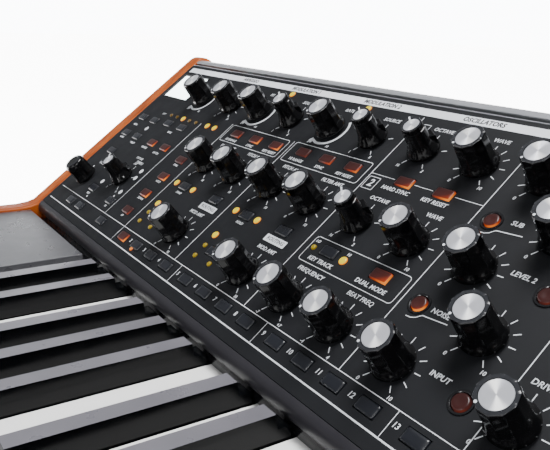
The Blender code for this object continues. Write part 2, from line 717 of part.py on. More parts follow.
def build_mains_inlet(plastic):
    """The mains inlet and, in one moulding with it, the frame of the power switch."""
    face = -(BACK + GAP)
    shell = bmesh.new()
    add_frame(shell, INLET, [(face + 20, 23.6, 13.6), (face, 23.6, 13.6), (face, 26.0, 16.0),
                             (face - 1.6, 26.0, 16.0), (face - 1.6, 12.8, 9.0), (face + 16, 12.8, 9.0)])
    inlet = place("mains_inlet", shell, plastic)
    frame = bmesh.new()
    add_switch_frame(frame, face)
    join(inlet, frame)
    bar = bmesh.new()
    box(bar, (SWITCH + 7.2, BACK + GAP + 0.15, CONNECTOR_HEIGHT - 6),
        (INLET - 25, BACK + 1.4, CONNECTOR_HEIGHT + 6))
    join(inlet, bar)


def stand_in_wall(part, x):
    """Stands a shell drawn about the vertical up in the rear wall, mouth to the back."""
    turn = Matrix.Rotation(math.radians(90), 4, "X")
    bmesh.ops.transform(part, matrix=turn, verts=part.verts)
    bmesh.ops.translate(part, vec=(x, 0, CONNECTOR_HEIGHT), verts=part.verts)


def append_shell(target, part):
    carried = bpy.data.meshes.new("carried")
    part.to_mesh(carried)
    part.free()
    target.from_mesh(carried)
    bpy.data.meshes.remove(carried)


def add_switch_frame(shell, face):
    """The four-sided frame that the rocker of the power switch sits in."""
    half = [(6.7, 9.7), (8.2, 11.2), (6.2, 9.2)]
    part = bmesh.new()
    rings = []
    for height, (half_x, half_y) in ((face + 12, half[0]), (face, half[0]), (face, half[1]),
                                     (face - 1.4, half[1]), (face - 1.4, half[2]),
                                     (face + 12, half[2])):
        rings.append([part.verts.new((sx * half_x, sy * half_y, height))
                      for sx, sy in ((-1, -1), (1, -1), (1, 1), (-1, 1))])
    for low, high in zip(rings, rings[1:] + rings[:1]):
        for i in range(4):
            j = (i + 1) % 4
            part.faces.new((low[i], low[j], high[j], high[i]))
    stand_in_wall(part, SWITCH)
    append_shell(shell, part)


def build_power_switch(plastic):
    """A rocker tipped to one side at rest; it turns about the line through its middle."""
    outline = [(-6, -5), (-1.0, -8.6), (2.2, -8.6), (0.6, 0), (2.2, 8.6), (-1.0, 8.6), (-6, 5)]
    shell = bmesh.new()
    along_x(shell, outline, -5.8, 5.8)
    place("power_switch", shell, plastic, (SWITCH, BACK, CONNECTOR_HEIGHT), (SWITCH_TILT, 0, 0))


def build_main_board(laminate):
    """The main circuit board on four pillars, with its chips, regulators and capacitors."""
    low = 16.0
    high = low + BOARD_SHEET
    shell = bmesh.new()
    box(shell, (-170, 30, low), (300, 150, high))
    board = place("main_board", shell, laminate)
    parts = bmesh.new()
    for x in (-160, 290):
        for y in (38, 142):
            turned(parts, (x, y, 0), [(3.0, FOOT_HEIGHT + SHEET + GAP), (3.0, low + 0.5)], 8)
    for column in range(6):
        for row in range(2):
            x, y = -120 + 72 * column, 60 + 42 * row
            box(parts, (x - 14, y - 7, high - 0.5), (x + 14, y + 7, high + 3.5))
    for column in range(5):
        turned(parts, (-84 + 72 * column, 136, 0), [(5.0, high - 0.5), (5.0, high + 14)], 8)
    join(board, parts)


def build_power_supply(steel):
    """A caged supply on the base pan, with a finned cooling block on top."""
    low = FOOT_HEIGHT + SHEET + 0.5
    shell = bmesh.new()
    box(shell, (-305, 40, low), (-190, 125, low + 32))
    supply = place("power_supply", shell, steel)
    fins = bmesh.new()
    for fin in range(6):
        x = -290 + 16 * fin
        box(fins, (x, 50, low + 31), (x + 4, 115, low + 44))
    join(supply, fins)


def main():
    clear_scene()
    wood = material("oiled_wood", (0.48, 0.17, 0.05), 0.45)
    black_steel = material("black_steel", (0.03, 0.03, 0.033), 0.5, 0.3)
    panel_paint = material("panel_paint", (0.022, 0.023, 0.027), 0.55)
    rail_paint = material("rail_paint", (0.06, 0.058, 0.065), 0.38)
    shell_paint = material("shell_paint", (0.17, 0.17, 0.18), 0.3, 0.6)
    block_plastic = material("block_plastic", (0.05, 0.05, 0.055), 0.35)
    bakelite = material("black_knob", (0.006, 0.006, 0.006), 0.15, coat=0.6)
    key_plastic = material("natural_plastic", (0.86, 0.86, 0.84), 0.12, coat=0.5)
    sharp_plastic = material("sharp_plastic", (0.004, 0.004, 0.004), 0.12, coat=0.5)
    button_black = material("button_black", (0.015, 0.015, 0.018), 0.3)
    rubber = material("rubber", (0.02, 0.02, 0.02), 0.7)
    nickel = material("nickel", (0.6, 0.6, 0.6), 0.25, 1.0)
    laminate = material("board_laminate", (0.02, 0.12, 0.05), 0.45)
    glass = material("display_glass", (0.55, 0.85, 0.95), 0.1)
    zinc = material("zinc_steel", (0.5, 0.5, 0.52), 0.4, 1.0)

    build_cheeks(wood)
    build_base_pan(black_steel)
    build_rear_shell(shell_paint)
    build_front_lip(rail_paint)
    build_wheel_block(block_plastic)
    build_feet(rubber)

    frame = make_panel_frame()
    build_control_panel(panel_paint, frame)
    build_knobs(bakelite, frame)
    for name in BUTTON_BANKS:
        build_button_bank(name, button_black, frame)
    build_faders(button_black, frame)
    build_panel_board(laminate, frame)
    build_display(glass, frame)

    build_keys(key_plastic, sharp_plastic)
    build_keybed_frame(zinc)
    build_wheels(rubber)

    build_jack_board(nickel)
    build_mains_inlet(button_black)
    build_power_switch(button_black)
    build_main_board(laminate)
    build_power_supply(zinc)
    bpy.context.view_layer.update()


main()
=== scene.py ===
"""Looks of the keyboard synthesizer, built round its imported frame.

Lengths are millimetres inside the functions and metres in the finished pieces.  Panel pieces are
drawn in the panel's own frame: X along the panel, Y up its slope, Z out of it.
"""

import json
import math

import bmesh
import bpy
from mathutils import Matrix, Vector

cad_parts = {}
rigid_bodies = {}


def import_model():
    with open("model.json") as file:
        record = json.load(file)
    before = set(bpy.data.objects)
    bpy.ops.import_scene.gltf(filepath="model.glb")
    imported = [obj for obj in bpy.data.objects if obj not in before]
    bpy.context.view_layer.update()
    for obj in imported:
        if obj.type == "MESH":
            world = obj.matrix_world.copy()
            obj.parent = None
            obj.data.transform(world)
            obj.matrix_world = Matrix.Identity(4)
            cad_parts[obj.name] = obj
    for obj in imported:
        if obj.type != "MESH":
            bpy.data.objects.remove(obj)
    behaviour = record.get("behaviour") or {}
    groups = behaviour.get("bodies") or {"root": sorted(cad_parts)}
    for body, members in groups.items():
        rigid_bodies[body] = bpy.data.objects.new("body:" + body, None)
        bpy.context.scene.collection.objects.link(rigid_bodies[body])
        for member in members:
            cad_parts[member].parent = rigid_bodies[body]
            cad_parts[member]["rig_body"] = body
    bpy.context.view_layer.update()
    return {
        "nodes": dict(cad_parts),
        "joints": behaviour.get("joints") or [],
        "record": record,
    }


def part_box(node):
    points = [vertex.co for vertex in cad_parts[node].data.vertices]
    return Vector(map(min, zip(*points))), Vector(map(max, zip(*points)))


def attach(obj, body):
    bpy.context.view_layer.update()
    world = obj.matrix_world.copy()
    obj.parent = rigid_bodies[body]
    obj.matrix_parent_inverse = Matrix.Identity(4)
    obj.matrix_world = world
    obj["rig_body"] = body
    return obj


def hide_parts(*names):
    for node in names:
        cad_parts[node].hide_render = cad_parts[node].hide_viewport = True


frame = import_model()

MM = 0.001
JOINTS = {joint["child"]: joint for joint in frame["joints"]}
WORLD = Matrix.Identity(4)
PRINT_MARGIN = 5                           # lines stop this far short of the cheeks
PANEL_LEAD = 2.7                           # the panel sheet starts this far before its frame's origin


def panel_matrix():
    """The panel's frame, on its top face near the front edge."""
    joint = JOINTS["knob_value"]
    out = Vector(joint["axis"])
    tilt = math.atan2(-out.y, out.z)
    point = Vector(joint["pos_m"])
    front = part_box("control_panel")[0].y + PANEL_LEAD * MM * math.cos(tilt)
    height = point.z - (point.y - front) * math.tan(tilt)
    return Matrix.Translation((0, front, height)) @ Matrix.Rotation(tilt, 4, "X")


PANEL = panel_matrix()
TO_PANEL = PANEL.inverted()
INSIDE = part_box("control_panel")[1].x / MM          # half width between the cheeks
PANEL_LENGTH = (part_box("control_panel")[1].z - PANEL.translation.z) / MM / math.sin(
    PANEL.to_euler().x)
PANEL_SPAN = (-INSIDE + PRINT_MARGIN, INSIDE - PRINT_MARGIN)


def on_panel(body):
    """Where a knob's axis meets the panel, in millimetres along and up it."""
    place = TO_PANEL @ Vector(JOINTS[body]["pos_m"])
    return place.x / MM, place.y / MM


# Shapes -------------------------------------------------------------------------------------

def bridge(shell, rings, caps=True, closed=False):
    """Joins a stack of equal rings of points into one skin."""
    made = [[shell.verts.new(point) for point in ring] for ring in rings]
    count = len(made[0])
    pairs = list(zip(made, made[1:]))
    if closed:
        pairs.append((made[-1], made[0]))
    for low, high in pairs:
        for i in range(count):
            j = (i + 1) % count
            shell.faces.new((low[i], low[j], high[j], high[i]))
    if caps and not closed:
        shell.faces.new(list(reversed(made[0])))
        shell.faces.new(made[-1])
    return made


def box(shell, low, high):
    corners = [(low[0], low[1]), (high[0], low[1]), (high[0], high[1]), (low[0], high[1])]
    bridge(shell, [[(x, y, z) for x, y in corners] for z in (low[2], high[2])])


def circle(radius, height, sides=32, centre=(0, 0), shape=None):
    """A ring of points; shape gives a factor on the radius at each angle."""
    points = []
    for i in range(sides):
        angle = 2 * math.pi * i / sides
        r = radius * (shape(angle) if shape else 1.0)
        points.append((centre[0] + r * math.cos(angle), centre[1] + r * math.sin(angle), height))
    return points


def lathe(shell, profile, sides=32, centre=(0, 0), shape=None):
    """Turns a profile of (radius, height) about a line through centre."""
    bridge(shell, [circle(r, z, sides, centre, shape) for r, z in profile])


def rounded(half_x, half_y, radius, height, centre=(0, 0), steps=4):
    """A ring round a rectangle with rounded corners."""
    points = []
    for corner, (sx, sy) in enumerate(((1, 1), (-1, 1), (-1, -1), (1, -1))):
        for step in range(steps + 1):
            angle = math.pi / 2 * (corner + step / steps)
            points.append((centre[0] + sx * (half_x - radius) + radius * math.cos(angle),
                           centre[1] + sy * (half_y - radius) + radius * math.sin(angle), height))
    return points


def strip(shell, points, width, low=0.0, high=0.06, closed=False):
    """A flat raised line of even width through points along the panel."""
    count = len(points)
    rings = []
    for i, (x, y) in enumerate(points):
        before = points[(i - 1) % count] if closed or i else points[i]
        after = points[(i + 1) % count] if closed or i < count - 1 else points[i]
        along = Vector((after[0] - before[0], after[1] - before[1])).normalized()
        if closed or 0 < i < count - 1:
            first = Vector((x - before[0], y - before[1])).normalized()
            half = width / 2 / max(0.4, along.dot(first))
        else:
            half = width / 2
        side = Vector((-along.y, along.x)) * half
        rings.append([(x - side.x, y - side.y, low), (x + side.x, y + side.y, low),
                      (x + side.x, y + side.y, high), (x - side.x, y - side.y, high)])
    bridge(shell, rings, closed=closed)


def arc_points(centre, radius, start, end, steps):
    """Points round a dial; angles are clock degrees from up the slope, clockwise."""
    points = []
    for i in range(steps + 1):
        angle = math.radians(start + (end - start) * i / steps)
        points.append((centre[0] + radius * math.sin(angle), centre[1] + radius * math.cos(angle)))
    return points


def piece(name, shell, finishes, body, slot, place=WORLD, bevel=0.0, segments=2, smooth=35):
    """Turns a shell in millimetres into a piece that rides on a body."""
    bmesh.ops.recalc_face_normals(shell, faces=shell.faces)
    mesh = bpy.data.meshes.new(name)
    shell.to_mesh(mesh)
    shell.free()
    mesh.transform(Matrix.Scale(MM, 4))
    return show(name, mesh, finishes, body, slot, place, bevel, segments, smooth)


def show(name, mesh, finishes, body, slot, place=WORLD, bevel=0.0, segments=2, smooth=35):
    """Puts a mesh in the scene, with its materials, edges and body."""
    if not isinstance(finishes, (list, tuple)):
        finishes = [finishes]
    if not mesh.materials:
        for finish in finishes:
            mesh.materials.append(finish)
    for face in mesh.polygons:
        face.use_smooth = True
    mesh.set_sharp_from_angle(angle=math.radians(smooth))
    made = bpy.data.objects.new(name, mesh)
    bpy.context.scene.collection.objects.link(made)
    made.matrix_world = place
    if bevel:
        edge = made.modifiers.new("edges", "BEVEL")
        edge.width = bevel * MM
        edge.segments = segments
        edge.limit_method = "ANGLE"
        edge.angle_limit = math.radians(30)
        edge.harden_normals = True
    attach(made, body)
    return made


def body_of(node):
    return frame["nodes"][node]["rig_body"]


SLOT = {part["node"]: part["material_slot"] for part in frame["record"]["subparts"]}


def cleaned(node, into=WORLD):
    """A copy of a CAD node's mesh as a shell in millimetres, with whole faces in place of triangles."""
    shell = bmesh.new()
    shell.from_mesh(frame["nodes"][node].data)
    bmesh.ops.transform(shell, matrix=Matrix.Scale(1 / MM, 4) @ into, verts=shell.verts)
    bmesh.ops.remove_doubles(shell, verts=shell.verts, dist=0.002)
    bmesh.ops.dissolve_limit(shell, angle_limit=math.radians(0.6), verts=shell.verts,
                             edges=shell.edges)
    return shell


def refine(node, finish, bevel, segments=3, smooth=35, colour=None):
    """Stands a copy of a CAD node with softened edges in its place.

    colour, where given, tells from a face which of several finishes it takes.
    """
    shell = cleaned(node)
    if colour:
        for face in shell.faces:
            face.material_index = colour(face)
    made = piece(node + "_shell", shell, finish, body_of(node), SLOT[node], bevel=bevel,
                 segments=segments, smooth=smooth)
    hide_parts(node)
    return made


# Materials ----------------------------------------------------------------------------------

def fill_ramp(ramp, stops):
    """Gives a colour ramp its stops of (position, colour)."""
    while len(ramp.elements) < len(stops):
        ramp.elements.new(0.5)
    for element, (at, colour) in zip(ramp.elements, stops):
        element.position = at
        element.color = (*colour, 1.0)


class Nodes:
    """A material's nodes, with short names for the few kinds used here."""

    def __init__(self, name, roughness, metallic=0.0, coat=0.0):
        self.material = bpy.data.materials.new(name)
        self.material.use_nodes = True
        self.tree = self.material.node_tree
        self.shader = self.tree.nodes["Principled BSDF"]
        self.set(Roughness=roughness, Metallic=metallic)
        self.shader.inputs["Coat Weight"].default_value = coat
        self.shader.inputs["Coat Roughness"].default_value = 0.04
        self.place = self.tree.nodes.new("ShaderNodeTexCoord").outputs["Object"]

    def set(self, **values):
        for name, value in values.items():
            self.shader.inputs[name.replace("_", " ")].default_value = value

    def link(self, source, target):
        self.tree.links.new(source, target)

    def stretched(self, scale):
        node = self.tree.nodes.new("ShaderNodeMapping")
        node.inputs["Scale"].default_value = scale
        self.link(self.place, node.inputs["Vector"])
        return node.outputs["Vector"]

    def noise(self, scale, detail=3.0, stretch=(1, 1, 1), rough=0.5):
        node = self.tree.nodes.new("ShaderNodeTexNoise")
        node.inputs["Scale"].default_value = scale
        node.inputs["Detail"].default_value = detail
        node.inputs["Roughness"].default_value = rough
        self.link(self.stretched(stretch), node.inputs["Vector"])
        return node.outputs["Fac"]

    def ramp(self, source, stops):
        node = self.tree.nodes.new("ShaderNodeValToRGB")
        fill_ramp(node.color_ramp, stops)
        self.link(source, node.inputs["Fac"])
        return node.outputs["Color"]

    def spread(self, source, low, high):
        node = self.tree.nodes.new("ShaderNodeMapRange")
        node.inputs["From Min"].default_value = 0.3
        node.inputs["From Max"].default_value = 0.7
        node.inputs["To Min"].default_value = low
        node.inputs["To Max"].default_value = high
        self.link(source, node.inputs["Value"])
        return node.outputs["Result"]

    def bump(self, source, strength, distance):
        node = self.tree.nodes.new("ShaderNodeBump")
        node.inputs["Strength"].default_value = strength
        node.inputs["Distance"].default_value = distance
        self.link(source, node.inputs["Height"])
        self.link(node.outputs["Normal"], self.shader.inputs["Normal"])

    def colour(self, source):
        self.link(source, self.shader.inputs["Base Color"])


def mixed(colour, factor):
    return tuple(min(1.0, channel * factor) for channel in colour)


def finish(name, colour, roughness, metallic=0.0, coat=0.0, mottle=0.12, size=30.0, grain=1500.0,
           relief=0.15, wear=0.05, gloss=0.5):
    """A painted, moulded or plated surface: slight patches, a fine grain and uneven gloss."""
    nodes = Nodes(name, roughness, metallic, coat)
    nodes.set(Specular_IOR_Level=gloss)
    patches = nodes.noise(size, 4.0)
    nodes.colour(nodes.ramp(patches, [(0.3, mixed(colour, 1 - mottle)),
                                      (0.7, mixed(colour, 1 + mottle))]))
    nodes.link(nodes.spread(nodes.noise(size * 3, 5.0), roughness - wear, roughness + wear),
               nodes.shader.inputs["Roughness"])
    nodes.bump(nodes.noise(grain, 2.0), relief, 0.00004)
    return nodes.material


def wood_finish():
    """Oiled reddish-brown wood with its grain running front to back."""
    nodes = Nodes("oiled_wood", 0.4)
    nodes.set(Specular_IOR_Level=0.15)
    grain = nodes.noise(26.0, 6.0, (6.0, 0.35, 2.6), 0.6)
    nodes.colour(nodes.ramp(grain, [(0.25, (0.12, 0.020, 0.003)), (0.42, (0.26, 0.050, 0.006)),
                                    (0.58, (0.34, 0.074, 0.009)), (0.75, (0.42, 0.11, 0.018))]))
    pores = nodes.noise(420.0, 3.0, (1.0, 0.03, 1.0))
    nodes.link(nodes.spread(pores, 0.34, 0.5), nodes.shader.inputs["Roughness"])
    nodes.bump(pores, 0.35, 0.0001)
    return nodes.material


# The bright fans are painted highlights in the colour, along one fixed line, over the real sheen of the
# turned rings.
PAINTED_FAN_ANGLE = math.radians(-135)             # the bright fans lie along this line


def spun_finish():
    """Spun aluminium: fine turned rings that draw fans of light out from the middle, and a painted
    highlight of the same fans as bright wedges in the colour.
    """
    nodes = Nodes("spun_aluminium", 0.34, 0.6)
    nodes.set(Anisotropic=0.8)
    turned = nodes.tree.nodes.new("ShaderNodeMapping")
    turned.inputs["Rotation"].default_value = (0, 0, PAINTED_FAN_ANGLE)
    nodes.link(nodes.place, turned.inputs["Vector"])
    fan = nodes.tree.nodes.new("ShaderNodeTexGradient")
    fan.gradient_type = "RADIAL"
    nodes.link(turned.outputs["Vector"], fan.inputs["Vector"])
    # Painted highlight: the colour turns bright in two opposite wedges along the fan line.
    dull, bright = (0.64, 0.65, 0.70), (1.0, 1.0, 1.0)
    fans = [(0.0, bright), (0.035, bright), (0.10, dull), (0.42, dull), (0.47, bright), (0.53, bright),
            (0.58, dull), (0.90, dull), (0.965, bright)]
    nodes.colour(nodes.ramp(fan.outputs["Fac"], fans))
    tangent = nodes.tree.nodes.new("ShaderNodeTangent")
    tangent.direction_type = "RADIAL"
    tangent.axis = "Z"
    nodes.link(tangent.outputs["Tangent"], nodes.shader.inputs["Tangent"])
    nodes.bump(nodes.noise(2600.0, 2.0), 0.06, 0.00002)
    return nodes.material


def glowing(name, base, stops, strength):
    """Translucent plastic lit from inside, save for the unlit lenses, whose faint glow is painted; the
    shape's glow attribute says where it shines.
    """
    nodes = Nodes(name, 0.3)
    nodes.set(Specular_IOR_Level=0.3)
    shine = nodes.tree.nodes.new("ShaderNodeAttribute")
    shine.attribute_name = "glow"
    mottled = nodes.tree.nodes.new("ShaderNodeMath")
    mottled.operation = "MULTIPLY_ADD"
    nodes.link(nodes.noise(300.0, 3.0), mottled.inputs[0])
    mottled.inputs[1].default_value = 0.06
    nodes.link(shine.outputs["Fac"], mottled.inputs[2])
    nodes.colour(nodes.ramp(nodes.noise(60.0), [(0.3, mixed(base, 0.9)), (0.7, mixed(base, 1.1))]))
    nodes.link(nodes.ramp(mottled.outputs["Value"], stops), nodes.shader.inputs["Emission Color"])
    nodes.set(Emission_Strength=strength)
    return nodes.material


def make_materials():
    made = {
        "wood": wood_finish(),
        "spun": spun_finish(),
        "panel": finish("panel_paint", (0.0062, 0.0068, 0.0084), 0.6, grain=2600, relief=0.5, gloss=0.2),
        "rail": finish("rail_paint", (0.018, 0.0172, 0.021), 0.4, grain=2600, relief=0.3, gloss=0.4),
        "fascia": finish("fascia_black", (0.004, 0.004, 0.005), 0.25, coat=0.3),
        "shell": finish("shell_paint", (0.26, 0.265, 0.285), 0.34, 0.3, grain=2200, relief=0.2),
        "steel": finish("black_steel", (0.02, 0.02, 0.022), 0.45, 0.2, grain=1800, relief=0.3),
        "block": finish("block_plastic", (0.05, 0.05, 0.056), 0.3, coat=0.2),
        "knob": finish("knob_black", (0.0015, 0.0015, 0.0018), 0.13, relief=0.0, wear=0.03, gloss=0.3),
        # A lighter, rougher black for the knobs' upward top faces: painted sheen of the light falling on
        # them.
        "knob_top_painted_sheen": finish("knob_top_painted_sheen", (0.018, 0.019, 0.022), 0.25, relief=0.02),
        "white_paint": finish("white_print", (0.56, 0.58, 0.61), 0.5, relief=0.2),
        "dark_paint": finish("dark_print", (0.01, 0.01, 0.012), 0.5, relief=0.2),
        "band": finish("header_band", (0.66, 0.68, 0.72), 0.4, relief=0.2),
        "white_key": finish("natural_plastic", (0.88, 0.88, 0.87), 0.1, coat=0.5, mottle=0.02,
                            relief=0.04, wear=0.03),
        # The sharps' tops are painted grey: a painted reflection of the bright backdrop on their black
        # plastic.
        "sharp_top_reflection_paint": finish("sharp_top_painted_reflection", (0.115, 0.112, 0.128), 0.3, relief=0.05, wear=0.04),
        "black_key": finish("sharp_plastic", (0.0012, 0.0014, 0.0018), 0.2, relief=0.02, wear=0.04,
                            gloss=0.2),
        "button": finish("button_black", (0.008, 0.009, 0.0125), 0.3, relief=0.1, gloss=0.5),
        "rubber": finish("rubber", (0.012, 0.012, 0.013), 0.7, relief=0.6, grain=900),
        "nickel": finish("nickel", (0.62, 0.61, 0.58), 0.22, 1.0, relief=0.1),
        "zinc": finish("zinc_steel", (0.52, 0.53, 0.55), 0.38, 1.0, mottle=0.2, size=60),
        "laminate": finish("board_laminate", (0.012, 0.10, 0.04), 0.4, mottle=0.25, size=120),
        "socket": finish("socket_black", (0.01, 0.01, 0.011), 0.4),
        "screw": finish("black_screw", (0.03, 0.03, 0.032), 0.3, 0.8),
        "lit": glowing("lit_button", (0.012, 0.004, 0.004),
                       [(0.0, (0.012, 0.005, 0.005)), (0.3, (0.06, 0.013, 0.010)),
                        (0.6, (0.36, 0.040, 0.004)), (1.0, (1.0, 0.27, 0.02))], 1.2),
        "led": glowing("lit_lens", (0.03, 0.015, 0.0),
                       [(0.0, (0.7, 0.08, 0.0)), (0.45, (1.0, 0.32, 0.0)), (0.72, (1.0, 0.72, 0.0)),
                        (1.0, (1.0, 0.80, 0.0))], 1.25),
        "led_orange": glowing("orange_lens", (0.05, 0.01, 0.002),
                              [(0.0, (0.6, 0.06, 0.0)), (1.0, (1.0, 0.32, 0.01))], 1.2),
        "led_dim": glowing("dim_lens", (0.03, 0.02, 0.002),
                           [(0.0, (0.25, 0.13, 0.0)), (1.0, (1.0, 0.72, 0.0))], 0.42),
        # Unlit lenses still take a faint glow, brightest at the crown: a painted glow, not light from
        # inside.
        "unlit_led_painted_glow": glowing("unlit_lens_painted_glow", (0.05, 0.03, 0.006),
                           [(0.0, (0.05, 0.03, 0.0)), (1.0, (0.3, 0.16, 0.01))], 0.35),
        "screen": glowing("screen", (0.3, 0.4, 0.42),
                          [(0.0, (0.60, 0.92, 0.98)), (1.0, (0.90, 1.0, 1.0))], 7.0),
    }
    return made


# Stage --------------------------------------------------------------------------------------

CAMERA_PLACE = (0.2092, -0.1612, 0.2103)
CAMERA_TURN = 55.54                        # degrees to the left of straight back
CAMERA_FALL = 16.47                        # degrees below the horizon
CAMERA_ROLL = 2.41
CAMERA_LENS = 45.97


def build_camera():
    data = bpy.data.cameras.new("camera")
    data.lens = CAMERA_LENS
    data.sensor_width = 36
    data.clip_start = 0.01
    data.clip_end = 60
    camera = bpy.data.objects.new("camera", data)
    turn = Matrix.Rotation(math.radians(CAMERA_TURN), 4, "Z")
    tip = Matrix.Rotation(math.radians(90 - CAMERA_FALL), 4, "X")
    roll = Matrix.Rotation(math.radians(CAMERA_ROLL), 4, "Z")
    camera.matrix_world = Matrix.Translation(CAMERA_PLACE) @ turn @ tip @ roll
    bpy.context.scene.collection.objects.link(camera)
    bpy.context.scene.camera = camera


def area_light(name, place, target, size, power):
    data = bpy.data.lights.new(name, "AREA")
    data.shape = "RECTANGLE"
    data.size, data.size_y = size
    data.energy = power
    lamp = bpy.data.objects.new(name, data)
    lamp.location = place
    lamp.rotation_euler = (Vector(target) - Vector(place)).to_track_quat("-Z", "Y").to_euler()
    bpy.context.scene.collection.objects.link(lamp)


FLOOR_HALF = 6000
BACKDROP = (-0.8, 0.55, -0.9)              # the sky is bright low down behind the instrument


def light_backdrop(world, stops, peak):
    """Sets the sky's strength by how near a direction is to the backdrop."""
    tree = world.node_tree
    place = tree.nodes.new("ShaderNodeTexCoord")
    toward = tree.nodes.new("ShaderNodeVectorMath")
    toward.operation = "DOT_PRODUCT"
    toward.inputs[1].default_value = BACKDROP
    fade = tree.nodes.new("ShaderNodeValToRGB")
    scale = tree.nodes.new("ShaderNodeMath")
    scale.operation = "MULTIPLY"
    scale.inputs[1].default_value = peak
    fill_ramp(fade.color_ramp, [(at, (value, value, value)) for at, value in stops])
    tree.links.new(place.outputs["Generated"], toward.inputs[0])
    tree.links.new(toward.outputs["Value"], fade.inputs["Fac"])
    tree.links.new(fade.outputs["Color"], scale.inputs[0])
    tree.links.new(scale.outputs["Value"], tree.nodes["Background"].inputs["Strength"])


def floor_finish():
    """Pale floor that turns into a lit table away behind the instrument."""
    nodes = Nodes("pale_floor", 0.6)
    nodes.colour(nodes.ramp(nodes.noise(2.0), [(0.3, (0.84, 0.84, 0.84)), (0.7, (0.88, 0.88, 0.88))]))
    glow = nodes.tree.nodes.new("ShaderNodeMath")
    glow.operation = "MULTIPLY"
    reaches = (("LENGTH", (1.0, 1.5, 0.0), 0.40, 0.58), ("DOT_PRODUCT", (1.0, 1.0, 0.0), 0.10, 0.30))
    for factor, (operation, stretch, near_edge, far_edge) in zip(glow.inputs, reaches):
        reach = nodes.tree.nodes.new("ShaderNodeVectorMath")
        reach.operation = operation
        reach.inputs[1].default_value = BACKDROP
        lit = nodes.tree.nodes.new("ShaderNodeMapRange")
        lit.interpolation_type = "SMOOTHSTEP"
        lit.inputs["From Min"].default_value = near_edge
        lit.inputs["From Max"].default_value = far_edge
        lit.inputs["To Max"].default_value = 3.3
        nodes.link(nodes.stretched(stretch), reach.inputs[0])
        nodes.link(reach.outputs["Value"], lit.inputs["Value"])
        nodes.link(lit.outputs["Result"], factor)
    nodes.link(glow.outputs["Value"], nodes.shader.inputs["Emission Strength"])
    nodes.set(Emission_Color=(1.0, 1.0, 1.0, 1.0))
    return nodes.material


def build_stage():
    world = bpy.data.worlds.new("studio")
    bpy.context.scene.world = world
    world.use_nodes = True
    world.node_tree.nodes["Background"].inputs["Color"].default_value = (0.95, 0.97, 1.0, 1.0)
    light_backdrop(world, [(0.0, 0.02), (0.55, 0.035), (0.72, 0.12), (0.84, 1.0)], 12.0)

    shell = bmesh.new()
    box(shell, (-FLOOR_HALF, -FLOOR_HALF, -20), (FLOOR_HALF, FLOOR_HALF, 0))
    mesh = bpy.data.meshes.new("floor")
    shell.to_mesh(mesh)
    shell.free()
    mesh.transform(Matrix.Scale(MM, 4))
    mesh.materials.append(floor_finish())
    floor = bpy.data.objects.new("floor", mesh)
    bpy.context.scene.collection.objects.link(floor)

    area_light("overhead", (0.1, 0.15, 1.5), (0, 0, 0.1), (0.9, 0.5), 46)
    area_light("side", (1.2, -0.6, 0.8), (0, 0, 0.1), (0.25, 0.25), 9)
    area_light("front", (0.3, -1.5, 0.45), (0, 0.05, 0.12), (0.3, 0.2), 6)


# Case ---------------------------------------------------------------------------------------

def build_case(paint):
    refine("left_cheek", paint["wood"], 2.2, 4)
    refine("right_cheek", paint["wood"], 2.2, 4)
    refine("base_pan", paint["steel"], 0.4, 2)
    refine("front_lip", [paint["rail"], paint["fascia"]], 0.0,
           colour=lambda face: int(face.normal.z < -0.3 or face.calc_center_median().z < 59.5))
    refine("rear_shell", paint["shell"], 0.6, 3)
    refine("wheel_block", paint["block"], 1.0, 3)
    refine("keybed_frame", [paint["zinc"], paint["block"]], 0.4, 2,
           colour=lambda face: int(face.calc_center_median().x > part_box("high_naturals")[1].x / MM))
    refine("front_foot_strip", paint["rubber"], 0.5, 2)
    refine("rear_foot_strip", paint["rubber"], 0.5, 2)


def build_back_edge_highlight(paint):
    """A light strip along the back edge of the panel, in the shell's paint: a painted highlight of that
    edge.
    """
    shell = bmesh.new()
    box(shell, (PANEL_SPAN[0] - 4, PANEL_LENGTH - 0.9, -1.2), (PANEL_SPAN[1] + 4, PANEL_LENGTH - 0.3, 0.3))
    piece("panel_back_edge_highlight", shell, paint["shell"], "chassis", "shell_paint", PANEL, bevel=0.1)


# Panel print ----------------------------------------------------------------------------------

FINE, NORMAL, THICK = 0.30, 0.38, 0.7      # widths of printed lines
STRIP_EDGES = (3.6, 16.0)                  # lines before and behind the row of step buttons
GROUP_EDGES = (-194.5, -113.0, -28.8, 55.6, 140.0)
SECTIONS = {-229.0: 108.0, -194.5: 115.0, -123.2: 115.0, -49.9: 152.0, 21.3: 152.0, 84.0: 152.0,
            150.5: 152.0, 283.0: 152.0}


def printed_lines():
    lines = [([(PANEL_SPAN[0], STRIP_EDGES[0]), (PANEL_SPAN[1], STRIP_EDGES[0])], THICK),
             ([(PANEL_SPAN[0], STRIP_EDGES[1]), (PANEL_SPAN[1], STRIP_EDGES[1])], NORMAL),
             ([(-49.9, 109.4), (21.3, 109.4)], FINE),
             ([(150.5, 62.0), (283.0, 62.0)], FINE)]
    for x in GROUP_EDGES:
        lines.append(([(x, STRIP_EDGES[0]), (x, STRIP_EDGES[1])], FINE))
    for x, top in SECTIONS.items():
        lines.append(([(x, STRIP_EDGES[1]), (x, top)], NORMAL))
    return lines


def printed_frames():
    """Outlined boxes: left, front, right, back, corner radius."""
    return [(-192.4, 100.0, -127.0, 114.5, 1.5), (-120.8, 100.0, -53.6, 115.1, 1.5),
            (-45.5, 50.1, 18.6, 65.2, 1.8), (-48.6, 99.4, -41.0, 107.4, 0.3),
            (-48.6, 139.4, -41.0, 147.4, 0.3)]


